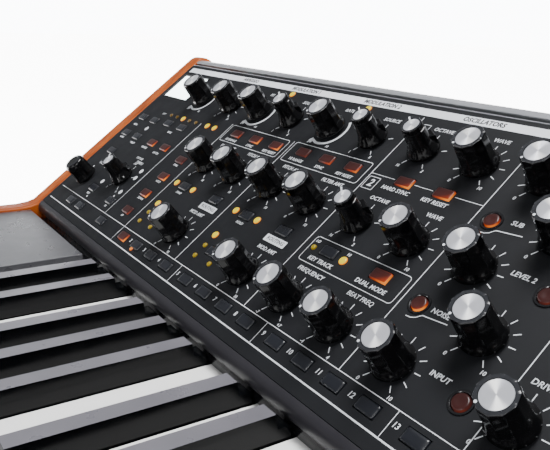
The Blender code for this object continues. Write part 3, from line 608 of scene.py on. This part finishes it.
def cut_by(points, gaps, shell, width):
    """Draws a straight line, left open where it would cross something."""
    (x0, y0), (x1, y1) = points
    if y0 != y1:
        strip(shell, points, width)
        return
    start = x0
    for low, high in sorted(gaps):
        if low > start and high < x1:
            strip(shell, [(start, y0), (low, y0)], width)
            start = high
    strip(shell, [(start, y0), (x1, y1)], width)


def build_lines(paint, caps):
    shell = bmesh.new()
    for points, width in printed_lines():
        y = points[0][1]
        gaps = [(x - 6.6, x + 6.6) for x, up in caps if abs(up - y) < 3.4]
        cut_by(points, gaps, shell, width)
    for left, front, right, back, radius in printed_frames():
        ring = rounded((right - left) / 2, (back - front) / 2, radius, 0,
                       ((left + right) / 2, (front + back) / 2))
        strip(shell, [(x, y) for x, y, _ in ring], FINE, closed=True)
    piece("panel_lines", shell, paint["white_paint"], "chassis", "panel_paint", PANEL)


BAND = (153.3, 158.4)


def build_band(paint):
    """The light header band, with the names of the sections in dark letters."""
    shell = bmesh.new()
    box(shell, (PANEL_SPAN[0], BAND[0], 0), (PANEL_SPAN[1], BAND[1], 0.06))
    piece("header_band", shell, paint["band"], "chassis", "panel_paint", PANEL)


# Dials
RING_START, RING_END = -145.0, 145.0
DIAL_NAMES = {
    "knob_glide": "GLIDE",
    "knob_lfo1_rate": "RATE", "knob_lfo1_pitch": "PITCH AMT", "knob_lfo1_source": "SOURCE",
    "knob_lfo2_rate": "RATE", "knob_lfo2_source": "SOURCE",
    "knob_osc1_octave": "OCTAVE", "knob_osc1_wave": "WAVE",
    "knob_mix_osc1": "LEVEL 1", "knob_mix_sub": "SUB",
    "knob_lfo1_filter": "FILTER AMT", "knob_lfo1_amount": "PITCH AMT",
    "knob_lfo2_pitch": "PITCH AMT", "knob_lfo2_filter": "FILTER AMT",
    "knob_osc2_octave": "OCTAVE", "knob_osc2_wave": "WAVE",
    "knob_mix_osc2": "LEVEL 2", "knob_mix_noise": "NOISE",
    "knob_lfo1_depth": "MOD AMT", "knob_lfo2_depth": "MOD AMT",
    "knob_osc2_tune": "FREQUENCY", "knob_osc2_beat": "BEAT FREQ", "knob_mix_input": "INPUT",
    "knob_drive": "DRIVE", "knob_resonance": "PEAK", "knob_cutoff": "CUTOFF",
    "knob_volume": "VOLUME", "knob_tempo": "TEMPO", "knob_value": "VALUE",
}
NUMERALS = {                               # at the start, top and end of a dial, where not 0, 5 and 10
    "knob_lfo1_source": ("1", "3", "5"), "knob_lfo2_source": ("1", "3", "5"),
    "knob_tempo": ("1", "3", "5"), "knob_osc1_octave": ("16", "4", "2"),
    "knob_osc2_octave": ("16", "4", "2"), "knob_osc2_tune": ("-7", "0", "+7"),
    "knob_osc2_beat": ("-4", "0", "4"), "knob_cutoff": ("20", "1K", "20K"),
    "knob_value": ("", "", ""),
}
SWEPT = ("knob_glide", "knob_lfo1_pitch", "knob_lfo2_rate")    # a bar sweeps round in place of ticks
# names that stand beside their dials, not behind them
MIXER_NAMES = {"knob_mix_osc1": (59.5, 134.0), "knob_mix_osc2": (59.5, 84.0),
               "knob_mix_input": (59.5, 34.0), "knob_mix_sub": (41.5, 105.5),
               "knob_mix_noise": (41.5, 56.0)}
LARGE = ("knob_cutoff", "knob_volume")
POINTERS = ("knob_tempo", "knob_lfo1_source", "knob_lfo2_source", "knob_osc1_octave",
            "knob_osc2_octave")


def kind_of(body):
    """Which of the four knob shapes a knob has."""
    if body in LARGE:
        return "large"
    if body == "knob_value":
        return "dome"
    if body in POINTERS:
        return "pointer"
    return "fluted"


SKIRT = {"fluted": 9.4, "large": 15.0, "pointer": 8.6, "dome": 8.6}


def build_dials(paint):
    ticks, bars, words = bmesh.new(), bmesh.new(), []
    for body, name in DIAL_NAMES.items():
        x, y = on_panel(body)
        inner = SKIRT[kind_of(body)] + 0.7
        outer = inner + 2.9
        count = 5 if kind_of(body) == "pointer" else 11
        words.append((name, *MIXER_NAMES.get(body, (x, y + outer + 3.4)), 3.3))
        numerals = NUMERALS.get(body, ("0", "5", "10"))
        for value, angle in zip(numerals, (RING_START, 0.0, RING_END)):
            if value and angle:
                along = math.radians(angle)
                words.append((value, x + (outer + 2.2) * math.sin(along),
                              y + (outer + 2.2) * math.cos(along), 2.5))
        if kind_of(body) == "dome":
            continue
        if body in SWEPT:
            strip(bars, arc_points((x, y), outer - 1.2, 212, 48, 40), 1.5)
            strip(bars, arc_points((x, y), outer, 221, 206, 4), 3.0, high=0.07)
            continue
        for i in range(count):
            angle = math.radians(RING_START + (RING_END - RING_START) * i / (count - 1))
            along = (math.sin(angle), math.cos(angle))
            strip(ticks, [(x + inner * along[0], y + inner * along[1]),
                          (x + outer * along[0], y + outer * along[1])], 0.4)
    piece("dial_ticks", ticks, paint["white_paint"], "chassis", "panel_paint", PANEL)
    piece("dial_bars", bars, paint["white_paint"], "chassis", "panel_paint", PANEL)
    return words


STEP_LABELS = [(str(i + 1), -185.3 + 20.1 * (i % 4) + 84.4 * (i // 4) - 9.6, 10.8, 3.4)
               for i in range(16)]
FADER_COLUMNS = [start + 14.0 * i for start in (166.0, 226.0) for i in range(4)]
FADER_NAMES = ("ATTACK", "DECAY", "HOLD", "FADE")
BUTTON_WORDS = {                           # letter size: words with their places
    6.6: [("2", -44.8, 103.4), ("1", -44.8, 143.4)],
    3.3: [("HARD SYNC", -27.5, 103.4), ("KEY RESET", -2.5, 103.4), ("KEY TRACK", -31.5, 53.2),
          ("DUAL MODE", 3.2, 53.4)],
    2.8: [("HI RANGE", -180.4, 102.3), ("SYNC", -157.8, 102.3), ("KEY RESET", -136.0, 102.3),
          ("HI RANGE", -108.6, 102.8), ("SYNC", -86.8, 102.8), ("KEY RESET", -65.6, 102.8)],
    2.6: [("SAVE", -255.0, 92.4), ("LATCH", -244.9, 72.4), ("RANGE", -266.1, 73.2),
          ("OCTAVE", -256.2, 63.4)],
    2.4: [("SWAP", -177.2, 53.0), ("HOLD", -103.3, 53.0), ("BANK", -310.5, 74.4),
          ("PRESET", -287.8, 73.0), ("MENU", -310.9, 89.2), ("EDIT", -287.3, 106.5),
          ("TAP", -254.6, 58.0)],
    2.3: [("LO", -42.6, 62.6), ("HI", -19.8, 62.6), ("UP", -208.5, 21.2), ("DOWN", -208.5, 37.4),
          ("HOLD", -208.5, 53.6), ("SYNC", -208.5, 69.8)],
    2.2: [("REST", -273.0, 21.6), ("TIE", -237.0, 20.4),
          *((name, x, 66.0) for name, x in zip(FADER_NAMES * 2, FADER_COLUMNS))],
}
BUTTON_LABELS = [(*word, size) for size, group in BUTTON_WORDS.items() for word in group]
BAND_NAMES = {"ARPEGGIO": -225.0, "MODULATION 1": -158.0, "MODULATION 2": -86.0, "OSCILLATORS": -14.0,
              "MIXER": 53.0, "FILTER": 117.0, "ENVELOPES": 217.0, "OUTPUT": 299.0}
BAND_LABELS = [(name, x, 155.9, 4.0) for name, x in BAND_NAMES.items()]


BOLD = 0.016                               # how far letters are thickened, against their size


def letter_mesh(word):
    bpy.context.view_layer.update()
    depsgraph = bpy.context.evaluated_depsgraph_get()
    return bpy.data.meshes.new_from_object(word.evaluated_get(depsgraph))


def build_lettering(name, words, surface, height=0.06, bold=BOLD, place=PANEL):
    """Short control names and numerals, as thin raised letters."""
    shell = bmesh.new()
    for text, x, y, size in words:
        data = bpy.data.curves.new("word", "FONT")
        data.body = text
        data.size = size
        data.align_x = "CENTER"
        data.align_y = "CENTER"
        data.offset = bold * size
        data.resolution_u = 2
        data.extrude = height / 2
        data.shear = 0.12
        word = bpy.data.objects.new("word", data)
        bpy.context.scene.collection.objects.link(word)
        mesh = letter_mesh(word)
        if max(abs(vertex.co.y) for vertex in mesh.vertices) > size:
            data.offset = 0.0              # a thickened outline can throw out a spike
            mesh = letter_mesh(word)
        mesh.transform(Matrix.Translation((x, y, height / 2)))
        shell.from_mesh(mesh)
        bpy.data.objects.remove(word)
        bpy.data.meshes.remove(mesh)
    bmesh.ops.remove_doubles(shell, verts=shell.verts, dist=0.001)
    piece(name, shell, surface, "chassis", "panel_paint", place, smooth=30)


GLYPH_DISCS = [(-289.0, 89.0), (-298.0, 53.0), (-271.0, 34.5), (-238.1, 55.0), (-236.7, 48.5),
               (-236.4, 34.3)]
SMALL_DOTS = [(-270.2, 19.1), (-238.8, 29.5), (-303.9, 41.7)]
LABEL_PLATES = [(-68.0, 52.7), (-138.5, 52.5)]
FADER_MARKS = [(73.0 + 4 * i, 1.4 if i % 5 == 0 else 0.8) for i in range(11)]   # place, half width


def build_marks(paint):
    """Round marks and a dash by the preset buttons, label plates, hooked lines, fader scales."""
    shell = bmesh.new()
    for x, y in GLYPH_DISCS:
        lathe(shell, [(1.9, 0), (1.9, 0.06)], 20, (x, y))
    for x, y in SMALL_DOTS:
        lathe(shell, [(0.8, 0), (0.8, 0.06)], 16, (x, y))
    strip(shell, [(-269.6, 55.3), (-265.0, 55.3)], 0.8)
    for x, y in LABEL_PLATES:
        bridge(shell, [rounded(8.8, 2.2, 0.5, z, (x, y)) for z in (0, 0.06)])
    for x, y in ((30.2, 56.0), (30.2, 103.5)):
        strip(shell, [(x - 1.5, y - 6.9), (x + 1.0, y - 6.8), (x + 3.0, y - 5.9), (x + 4.9, y - 3.9),
                      (x + 17.0, y - 2.9)], 0.4)
    for x in FADER_COLUMNS:
        for y, half in FADER_MARKS:
            strip(shell, [(x + 3.4 - half, y), (x + 3.4 + half, y)], 0.3)
    piece("panel_marks", shell, paint["white_paint"], "chassis", "panel_paint", PANEL)
    build_lettering("plate_lettering", [("ROUTING", x, y, 3.2) for x, y in LABEL_PLATES],
                    paint["dark_paint"], 0.09)


# Lights and display --------------------------------------------------------------------------

LIT = [(-255.5, 107.1), (-219.0, 107.3), (-209.0, 107.3), (-166.8, 150.4), (-92.5, 150.4),
       (-188.2, 58.7), (-166.2, 58.7), (-114.3, 58.7), (-92.3, 58.7), (-20.0, 58.7),
       (-185.5, 40.2), (-111.3, 40.2)]


def tops(node, height, slack=0.12):
    """Centres of a panel node's raised tops: its points at one height, grouped along their edges."""
    shell = cleaned(node, TO_PANEL)
    level = {vertex for vertex in shell.verts if abs(vertex.co.z - height) < slack}
    centres = []
    for start in shell.verts:
        if start not in level:
            continue
        level.remove(start)
        group, waiting = [], [start]
        while waiting:
            vertex = waiting.pop()
            group.append(vertex.co)
            for edge in vertex.link_edges:
                other = edge.other_vert(vertex)
                if other in level:
                    level.remove(other)
                    waiting.append(other)
        xs, ys = [point.x for point in group], [point.y for point in group]
        centres.append(((min(xs) + max(xs)) / 2, (min(ys) + max(ys)) / 2))
    shell.free()
    return centres


def near(place, places, reach=2.0):
    return any(math.dist(place, other) < reach for other in places)


def add_glow(made, value):
    """Stores how brightly each point of a piece shines; value is found from a point in metres."""
    attribute = made.data.attributes.new("glow", "FLOAT", "POINT")
    for i, vertex in enumerate(made.data.vertices):
        attribute.data[i].value = value(vertex.co)


def build_lights(paint):
    lenses = {"led": bmesh.new(), "led_dim": bmesh.new(), "unlit_led_painted_glow": bmesh.new()}
    for x, y in tops("panel_board", 0.4):
        # Lenses away from the lit ones and far up the panel are unlit, and take the faint painted glow.
        kind = "led" if near((x, y), LIT, 3.0) else "unlit_led_painted_glow" if y > 90 else "led_dim"
        rim = 2.3 if kind == "led" else 1.5
        lathe(lenses[kind], [(1.5, -0.6), (1.5, 0.02), (rim, 0.05), (rim * 0.95, 0.4), (rim * 0.8, 0.75),
                             (rim * 0.5, 1.05), (0.2, 1.18)], 24, (x, y))
    for name, shell in lenses.items():
        made = piece(name + "_lenses", shell, paint[name], "chassis", "display_glass", PANEL)
        add_glow(made, lambda point: 0.15 + 0.85 * max(0.0, min(1.0, point.z / MM / 1.1)))
    step_light = bmesh.new()
    lathe(step_light, [(1.3, 0), (1.3, 0.3), (1.0, 0.7), (0.3, 0.95)], 16, (-166.3, 6.8))
    made = piece("step_lens", step_light, paint["led_orange"], "chassis", "display_glass", PANEL)
    add_glow(made, lambda point: min(1.0, point.z / MM))


def build_display(paint):
    low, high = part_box("display")
    x = (low.x + high.x) / 2 / MM
    half_x, half_y, y = 19.9, 13.2, 136.6
    shell = bmesh.new()
    bridge(shell, [rounded(half_x, half_y, 0.8, z, (x, y)) for z in (-4.0, -0.5)])
    glass = piece("display_screen", shell, paint["screen"], "chassis", "display_glass", PANEL, bevel=0.2)
    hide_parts("display")
    add_glow(glass, lambda point: 1.0)
    bezel = bmesh.new()
    rings = [rounded(half_x + grow, half_y + grow, 1.0, z, (x, y)) for z, grow in
             ((-1.9, 0.28), (0.35, 0.28), (0.5, -0.6), (-0.45, -0.9))]
    bridge(bezel, rings, closed=True)
    piece("display_bezel", bezel, paint["fascia"], "chassis", "display_glass", PANEL)


# Knobs ----------------------------------------------------------------------------------------

SCALLOPS = 10
SCALLOP_SIDES = 120
DOT_ANGLE = math.radians(233)              # where a fluted knob's dot stands at rest
POINTER_REST = math.radians(139)           # where a pointer knob's line stands at rest
WING_ANGLE = math.radians(60)


def scalloped(depth, turned=DOT_ANGLE):
    """Shallow hollows between crisp ridges; the dot stands over the middle of a hollow."""
    def factor(angle):
        part = ((angle - turned) * SCALLOPS / (2 * math.pi) + 0.5) % 1.0
        return 1.0 - depth * 4 * part * (1 - part)
    return factor


def beaked(reach, turned=POINTER_REST):
    """A round drawn out to a beak on one side."""
    def factor(angle):
        off = math.atan2(math.sin(angle - turned), math.cos(angle - turned))
        return 1.0 + reach * math.exp(-(off / 0.42) ** 2)
    return factor


def skin(shell, levels, sides=SCALLOP_SIDES):
    """Stacks rings of (radius, height, shape)."""
    bridge(shell, [circle(r, z, sides, shape=shape) for r, z, shape in levels])


def knob_levels(kind):
    flutes = {depth: scalloped(depth) for depth in (0.02, 0.035, 0.05)}
    if kind in ("fluted", "large"):
        across, tall = (1.0, 1.0) if kind == "fluted" else (1.62, 1.11)
        levels = [(8.7, 0.9, None), (9.25, 1.1, None), (9.4, 1.6, None), (9.3, 2.4, None),
                  (8.9, 3.5, flutes[0.02]), (8.5, 4.6, flutes[0.035]), (8.25, 5.8, flutes[0.05]),
                  (8.1, 8.0, flutes[0.05]), (7.75, 17.3, flutes[0.05]), (7.62, 17.75, flutes[0.05]),
                  (7.35, 17.95, flutes[0.035]), (5.78, 17.98, None), (5.72, 17.5, None)]
        return [(r * across, z * tall, shape) for r, z, shape in levels]
    if kind == "pointer":
        beak, low_beak = beaked(0.34), beaked(0.12)
        return [(7.8, 0.9, None), (8.4, 1.1, None), (8.6, 1.7, None), (8.4, 2.5, None),
                (7.6, 3.9, low_beak), (6.8, 5.6, beak), (6.1, 8.0, beak),
                (5.6, 14.6, beak), (5.3, 14.8, beak), (5.2, 17.6, beak), (5.0, 17.9, beak),
                (4.25, 17.95, None), (4.2, 17.5, None)]
    return [(7.9, 0.9, None), (8.5, 1.2, None), (8.6, 1.8, None), (8.2, 3.0, None),
            (7.75, 4.0, None), (7.7, 10.0, None), (7.6, 14.2, None), (7.2, 15.6, None),
            (6.4, 16.4, None), (5.2, 16.7, None), (4.6, 16.75, None), (4.4, 16.5, None)]


DISC = {"fluted": (5.65, 17.62), "large": (9.2, 19.6), "pointer": (4.1, 17.62)}   # radius, height


def knob_disc(kind):
    radius, height = DISC[kind]
    shell = bmesh.new()
    lathe(shell, [(radius, height - 0.4), (radius, height), (radius - 0.12, height + 0.12),
                  (radius * 0.5, height + 0.13), (0.05, height + 0.13)], 64)
    return shell


def knob_mark(kind):
    """The white dot on a fluted knob's rim, or the white line along a pointer."""
    height = DISC[kind][1]
    shell = bmesh.new()
    if kind in ("fluted", "large"):
        reach = 6.6 if kind == "fluted" else 10.8
        size = 0.6 if kind == "fluted" else 0.8
        lathe(shell, [(size, height + 0.2), (size, height + 0.38), (size * 0.5, height + 0.44)], 16,
              (reach * math.cos(DOT_ANGLE), reach * math.sin(DOT_ANGLE)))
        return shell
    along = Vector((math.cos(POINTER_REST), math.sin(POINTER_REST)))
    strip(shell, [tuple(along * 0.4), tuple(along * 6.6)], 0.8, height + 0.13, height + 0.4)
    return shell


def knob_wing(shell):
    """The block that stands out from a pointer knob's side."""
    along = Vector((math.cos(WING_ANGLE), math.sin(WING_ANGLE)))
    side = Vector((-along.y, along.x))
    rings = []
    for reach, half, top in ((3.0, 3.4, 9.2), (7.4, 3.3, 8.2), (7.9, 2.9, 7.6)):
        corners = [along * reach + side * half, along * reach - side * half]
        rings.append([(corners[0].x, corners[0].y, 2.2), (corners[1].x, corners[1].y, 2.2),
                      (corners[1].x, corners[1].y, top), (corners[0].x, corners[0].y, top)])
    bridge(shell, rings)


def build_knobs(paint):
    meshes = {}
    for kind in SKIRT:
        shell = bmesh.new()
        levels = knob_levels(kind)
        skin(shell, levels)
        shell.normal_update()
        crown = levels[-1][1]
        for face in shell.faces:
            # Upward top faces take the lighter black, a painted sheen; the sides keep the glossy black.
            face.material_index = int(abs(face.normal.z) > 0.5 and face.calc_center_median().z > crown)
        meshes[kind] = [("grip", shell, paint["knob"], 40)]
        if kind == "dome":
            continue
        meshes[kind].append(("disc", knob_disc(kind), paint["spun"], 30))
        meshes[kind].append(("mark", knob_mark(kind), paint["white_paint"], 40))
        if kind == "pointer":
            wing = bmesh.new()
            knob_wing(wing)
            meshes[kind].append(("wing", wing, paint["knob"], 30))
    shared = {}
    for kind, parts in meshes.items():
        for part, shell, surface, smooth in parts:
            bmesh.ops.recalc_face_normals(shell, faces=shell.faces)
            mesh = bpy.data.meshes.new(f"{kind}_{part}")
            shell.to_mesh(mesh)
            shell.free()
            mesh.transform(Matrix.Scale(MM, 4))
            mesh.materials.append(surface)
            if part == "grip":
                mesh.materials.append(paint["knob_top_painted_sheen"])
            shared.setdefault(kind, []).append((part, mesh, surface, smooth))
    for body in DIAL_NAMES:
        kind = kind_of(body)
        x, y = on_panel(body)
        place = PANEL @ Matrix.Translation((x * MM, y * MM, 0))
        for part, mesh, surface, smooth in shared[kind]:
            made = show(f"{body}_{part}", mesh, surface, body, "knob_black", place, smooth=smooth)
            if part == "grip":
                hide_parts(body)


# Buttons --------------------------------------------------------------------------------------

BANKS = ("step_buttons", "preset_buttons", "modulation_buttons", "oscillator_buttons",
         "envelope_buttons")
CAP = (5.15, 2.85)                         # half width and half depth of a rectangular cap
CAP_TOP, ROUND_TOP = 1.0, 1.2              # heights of the caps of the CAD nodes over the panel
LIT_CAPS = {(-262.0, 79.3): 0.45, (-240.5, 79.3): 0.35, (-208.5, 26.4): 0.2,
            (-208.5, 42.6): 0.6, (-208.5, 58.8): 0.6, (-208.5, 75.0): 0.15,
            (-179.9, 108.3): 0.25, (-157.5, 108.3): 0.5, (-135.1, 108.3): 0.5,
            (-108.2, 109.4): 0.15, (-86.3, 109.4): 0.3, (-64.4, 109.4): 0.4,
            (-26.2, 109.4): 0.75, (-1.2, 109.4): 0.85, (4.0, 59.9): 1.0, (-185.3, 10.4): 0.6,
            (-306.4, 59.6): 0.5}
LIT_ROUND = {(30.2, 56.0): 0.8, (30.2, 103.5): 0.6, (72.5, 30.0): 0.2, (72.5, 80.0): 0.2,
             (72.5, 130.0): 0.2}


def add_cap(shell, x, y):
    half_x, half_y = CAP
    rings = [(-0.05, -3.9), (-0.05, 0.15), (0.03, 0.4), (0.2, 0.62), (0.5, 0.82), (1.0, 0.95),
             (1.7, 1.0), (2.4, 1.0)]
    bridge(shell, [rounded(half_x - inset, half_y - inset, max(0.25, 0.8 - inset * 0.3), z, (x, y))
                   for inset, z in rings])


def add_round_cap(shell, x, y):
    lathe(shell, [(3.5, -3.9), (3.5, 0.3), (3.4, 0.7), (3.1, 1.0), (2.6, 1.15), (1.5, 1.0), (0.3, 0.9)],
          32, (x, y))


def glow_at(place, table):
    """The glow listed for a cap at this place, or None for a dark one."""
    return next((glow for spot, glow in table.items() if near(place, [spot])), None)


def build_buttons(paint):
    """Caps of the five banks; the lit ones are a second piece on the same bank."""
    caps = []
    for bank in BANKS:
        plain, lit, shine = bmesh.new(), bmesh.new(), []
        for x, y in tops(bank, CAP_TOP, 0.06):
            caps.append((x, y))
            glow = glow_at((x, y), LIT_CAPS)
            add_cap(plain if glow is None else lit, x, y)
            if glow is not None:
                shine.append((x, y, glow))
        for x, y in tops(bank, ROUND_TOP, 0.06):
            add_round_cap(lit, x, y)
            shine.append((x, y, glow_at((x, y), LIT_ROUND)))
        slot = SLOT[bank]
        add_mat(plain, bank)
        made = piece(bank + "_caps", plain, paint["button"], bank, slot, PANEL, smooth=50)
        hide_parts(bank)
        if lit.verts:
            made = piece(bank + "_lit_caps", lit, paint["lit"], bank, slot, PANEL, smooth=50)
            add_glow(made, lambda point: cap_glow(point / MM, shine))
    return caps


def cap_glow(point, shine):
    """Light leaks out at a cap's front right corner, low down, and fades across its top."""
    x, y, level = min(shine, key=lambda cap: math.dist((point.x, point.y), cap[:2]))
    right = (point.x - x) / CAP[0]
    front = (y - point.y) / CAP[1]
    lean = max(0.0, 0.45 + 0.36 * right + 0.26 * front)
    side = 1.0 if point.z < 0.75 else 0.34
    return min(1.0, level * side * lean ** 2 * 1.7 + 0.06)


def build_round_rims(paint):
    """Black rims round the circular buttons."""
    shell = bmesh.new()
    for x, y in LIT_ROUND:
        rings = [circle(r, z, 32, (x, y)) for r, z in
                 ((3.95, -1.0), (3.95, 0.3), (4.2, 0.5), (4.9, 0.5), (5.1, 0.0), (5.1, -0.05))]
        bridge(shell, [*rings, circle(3.96, -0.06, 32, (x, y))], caps=False)
    piece("round_button_rims", shell, paint["fascia"], "chassis", "panel_paint", PANEL)


def add_mat(shell, bank):
    """The bank's mat under the panel, sliced off the CAD node below its caps."""
    mat = cleaned(bank, TO_PANEL)
    geometry = mat.verts[:] + mat.edges[:] + mat.faces[:]
    cut = bmesh.ops.bisect_plane(mat, geom=geometry, plane_co=(0, 0, -3.6), plane_no=(0, 0, 1),
                                 clear_outer=True)
    rim = [item for item in cut["geom_cut"] if isinstance(item, bmesh.types.BMEdge)]
    bmesh.ops.triangle_fill(mat, edges=rim, use_beauty=True)
    mesh = bpy.data.meshes.new("mat")
    mat.to_mesh(mesh)
    mat.free()
    shell.from_mesh(mesh)
    bpy.data.meshes.remove(mesh)


FADER_TOP = 8.5


def build_faders(paint):
    refine("envelope_faders", paint["button"], 0.3, 2)
    shell = bmesh.new()
    for x, y in tops("envelope_faders", FADER_TOP):
        box(shell, (x - 3.3, y - 0.35, FADER_TOP - 0.05), (x + 3.3, y + 0.35, FADER_TOP + 0.06))
    piece("fader_lines", shell, paint["white_paint"], "envelope_faders", "button_black", PANEL)


# Keys and wheels ------------------------------------------------------------------------------

def build_keys(paint):
    for octave in ("low", "middle", "high"):
        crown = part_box(octave + "_sharps")[1].z / MM - 4
        refine(octave + "_naturals", paint["white_key"], 0.5, 3, smooth=50)
        # Flat top faces of the sharps take the grey paint, a painted reflection; the rest stays black.
        refine(octave + "_sharps", [paint["black_key"], paint["sharp_top_reflection_paint"]], 1.1, 4, smooth=50,
               colour=lambda face: int(face.normal.z > 0.9
                                        and face.calc_center_median().z > crown))


WHEEL_RADIUS, WHEEL_HALF = 24.0, 5.0


def wheel_reach(angle):
    """A ribbed rim with one finger hollow at the top."""
    off = math.atan2(math.sin(angle - math.pi / 2), math.cos(angle - math.pi / 2))
    hollow = 0.09 * math.exp(-(off / 0.16) ** 2)
    rib = 0.010 * max(0.0, math.cos(angle * 60)) if abs(off) > 0.3 else 0.0
    return 1.0 - hollow - rib


def build_wheels(paint):
    for body in ("pitch_wheel", "modulation_wheel"):
        shell = bmesh.new()
        half = [(WHEEL_RADIUS - 6, WHEEL_HALF - 0.6), (WHEEL_RADIUS - 5, WHEEL_HALF - 0.1),
                (WHEEL_RADIUS - 1.2, WHEEL_HALF), (WHEEL_RADIUS - 0.4, WHEEL_HALF - 0.4),
                (WHEEL_RADIUS, WHEEL_HALF - 1.1)]
        levels = [(r, -z) for r, z in half] + half[::-1]
        bridge(shell, [circle(r, z, 240, shape=wheel_reach) for r, z in levels])
        axle = bmesh.new()
        lathe(axle, [(2.6, -10), (3.0, -9.6), (3.0, 9.6), (2.6, 10)], 24)
        lie = Matrix.Rotation(math.radians(90), 4, "Y") @ Matrix.Rotation(math.radians(90), 4, "Z")
        place = Matrix.Translation(JOINTS[body]["pos_m"]) @ lie
        rim = piece(body + "_rim", shell, paint["rubber"], body, "wheel_rubber", place, smooth=50)
        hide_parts(body)
        piece(body + "_axle", axle, paint["zinc"], body, "wheel_rubber", place)


# Rear wall ------------------------------------------------------------------------------------

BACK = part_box("rear_shell")[1].y / MM
SOCKET_HEIGHT = JOINTS["power_switch"]["pos_m"][2] / MM
REAR = Matrix(((-1, 0, 0, 0), (0, 0, 1, BACK * MM), (0, 1, 0, 0), (0, 0, 0, 1)))
BEND = 66.9                                # height at which the back starts to lean forward
SLOPE = Matrix.Translation((0, BACK * MM, BEND * MM)) @ Matrix.Rotation(
    math.radians(25.63), 4, "X") @ REAR.to_3x3().to_4x4()
JACK_COLUMNS = [(opening["box_m"][0][0] + opening["box_m"][1][0]) / 2 / MM
                for opening in frame["record"]["physics"]["openings"]]
JACK_NAMES = ["1", "2", "3", "4", "5", "6", "7", "8", "IN", "OUT", "DATA", "POWER"]


def socket_colour(face):
    place = face.calc_center_median()
    if place.y < BACK - 20:
        return 1
    if place.y > BACK - 0.5 and (abs(face.normal.y) > 0.5 or place.y > BACK + 1):
        return 0
    return 2


def build_rear(paint):
    refine("jack_board", [paint["nickel"], paint["laminate"], paint["socket"]], 0.15, 2, smooth=30,
           colour=socket_colour)
    refine("mains_inlet", paint["socket"], 0.4, 2)
    refine("power_switch", paint["socket"], 0.3, 2)
    words = [(name, -x, SOCKET_HEIGHT + 20.0, 4.0) for name, x in zip(JACK_NAMES, JACK_COLUMNS)]
    build_lettering("rear_lettering", words, paint["white_paint"], place=REAR)
    pins = bmesh.new()
    for x in JACK_COLUMNS[8:10]:
        for angle in (0, 45, 90, 135, 180):
            along = math.radians(angle)
            lathe(pins, [(0.75, -6.6), (0.75, -5.9), (0.45, -5.85)], 12,
                  (-x + 4.2 * math.cos(along), SOCKET_HEIGHT + 4.2 * math.sin(along)))
    for offset, up in ((0, 4.0), (-6.5, -2.0), (6.5, -2.0)):
        x = -JACK_COLUMNS[11] + offset
        bridge(pins, [rounded(1.1, 2.2, 0.6, z, (x, SOCKET_HEIGHT + up)) for z in (-15.5, -4.0)])
    piece("socket_pins", pins, paint["nickel"], "chassis", "nickel", REAR)
    tongue = bmesh.new()
    bridge(tongue, [rounded(2.6, 1.6, 0.3, z, (-JACK_COLUMNS[10], SOCKET_HEIGHT)) for z in (-9.5, -2.5)])
    piece("usb_tongue", tongue, paint["white_paint"], "chassis", "nickel", REAR)


def hexagon(angle):
    """A factor that turns a circle's radius into a hexagon's."""
    sector = math.pi / 3
    off = (angle % sector) - sector / 2
    return math.cos(sector / 2) / math.cos(off)


def add_screw(shell, x, y, height=0.0, radius=3.2):
    rings = [(radius, height, None), (radius, height + 0.5, None),
             (radius * 0.9, height + 0.95, None), (radius * 0.62, height + 1.2, None),
             (radius * 0.5, height + 1.2, hexagon), (radius * 0.48, height + 0.35, hexagon)]
    bridge(shell, [circle(r, z, 36, (x, y), shape) for r, z, shape in rings])


def build_screws(paint):
    """Screw heads on the back and under the base."""
    upper = bmesh.new()
    for x in (-300, -180, -60, 60, 180, 300):
        add_screw(upper, x, 104)
    piece("upper_rear_screws", upper, paint["screw"], "chassis", "black_steel", SLOPE)
    rear = bmesh.new()
    for x in (-300, -140, 0, 180, 300):
        add_screw(rear, x, 14)
    piece("rear_screws", rear, paint["screw"], "chassis", "black_steel", REAR)
    under = bmesh.new()
    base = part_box("base_pan")[0].z / MM
    for x in (-310, -160, 0, 160, 310):
        for y in (-170, -60, 60, 165):
            add_screw(under, x, y)
    down = Matrix.Translation((0, 0, base * MM)) @ Matrix.Rotation(math.pi, 4, "X")
    piece("base_screws", under, paint["screw"], "chassis", "black_steel", down)


def build_vents(paint):
    """Raised louvres along the sloping back."""
    shell = bmesh.new()
    for i in range(24):
        x = -115 + 10 * i
        bridge(shell, [rounded(1.6 - inset, 17 - inset, 1.2, z, (x, 62)) for z, inset in
                       ((0.0, 0.0), (0.8, 0.1), (1.3, 0.6))])
    piece("rear_louvres", shell, paint["shell"], "chassis", "shell_paint", SLOPE)


def build_insides(paint):
    """Nodes that keep their CAD shape take a finished surface of their own."""
    surfaces = {"control_panel": "panel", "main_board": "laminate", "panel_board": "laminate",
                "power_supply": "zinc"}
    for node, name in surfaces.items():
        mesh = frame["nodes"][node].data
        mesh.materials.clear()
        mesh.materials.append(paint[name])


def main():
    build_stage()
    build_camera()
    paint = make_materials()
    build_case(paint)
    build_insides(paint)
    build_back_edge_highlight(paint)
    build_band(paint)
    words = build_dials(paint)
    caps = build_buttons(paint)
    build_lines(paint, caps)
    build_lettering("panel_lettering", words + STEP_LABELS + BUTTON_LABELS, paint["white_paint"])
    build_lettering("band_lettering", BAND_LABELS, paint["dark_paint"], 0.10, 0.035)
    build_marks(paint)
    build_lights(paint)
    build_round_rims(paint)
    build_display(paint)
    build_knobs(paint)
    build_faders(paint)
    build_keys(paint)
    build_wheels(paint)
    build_rear(paint)
    build_screws(paint)
    build_vents(paint)


main()
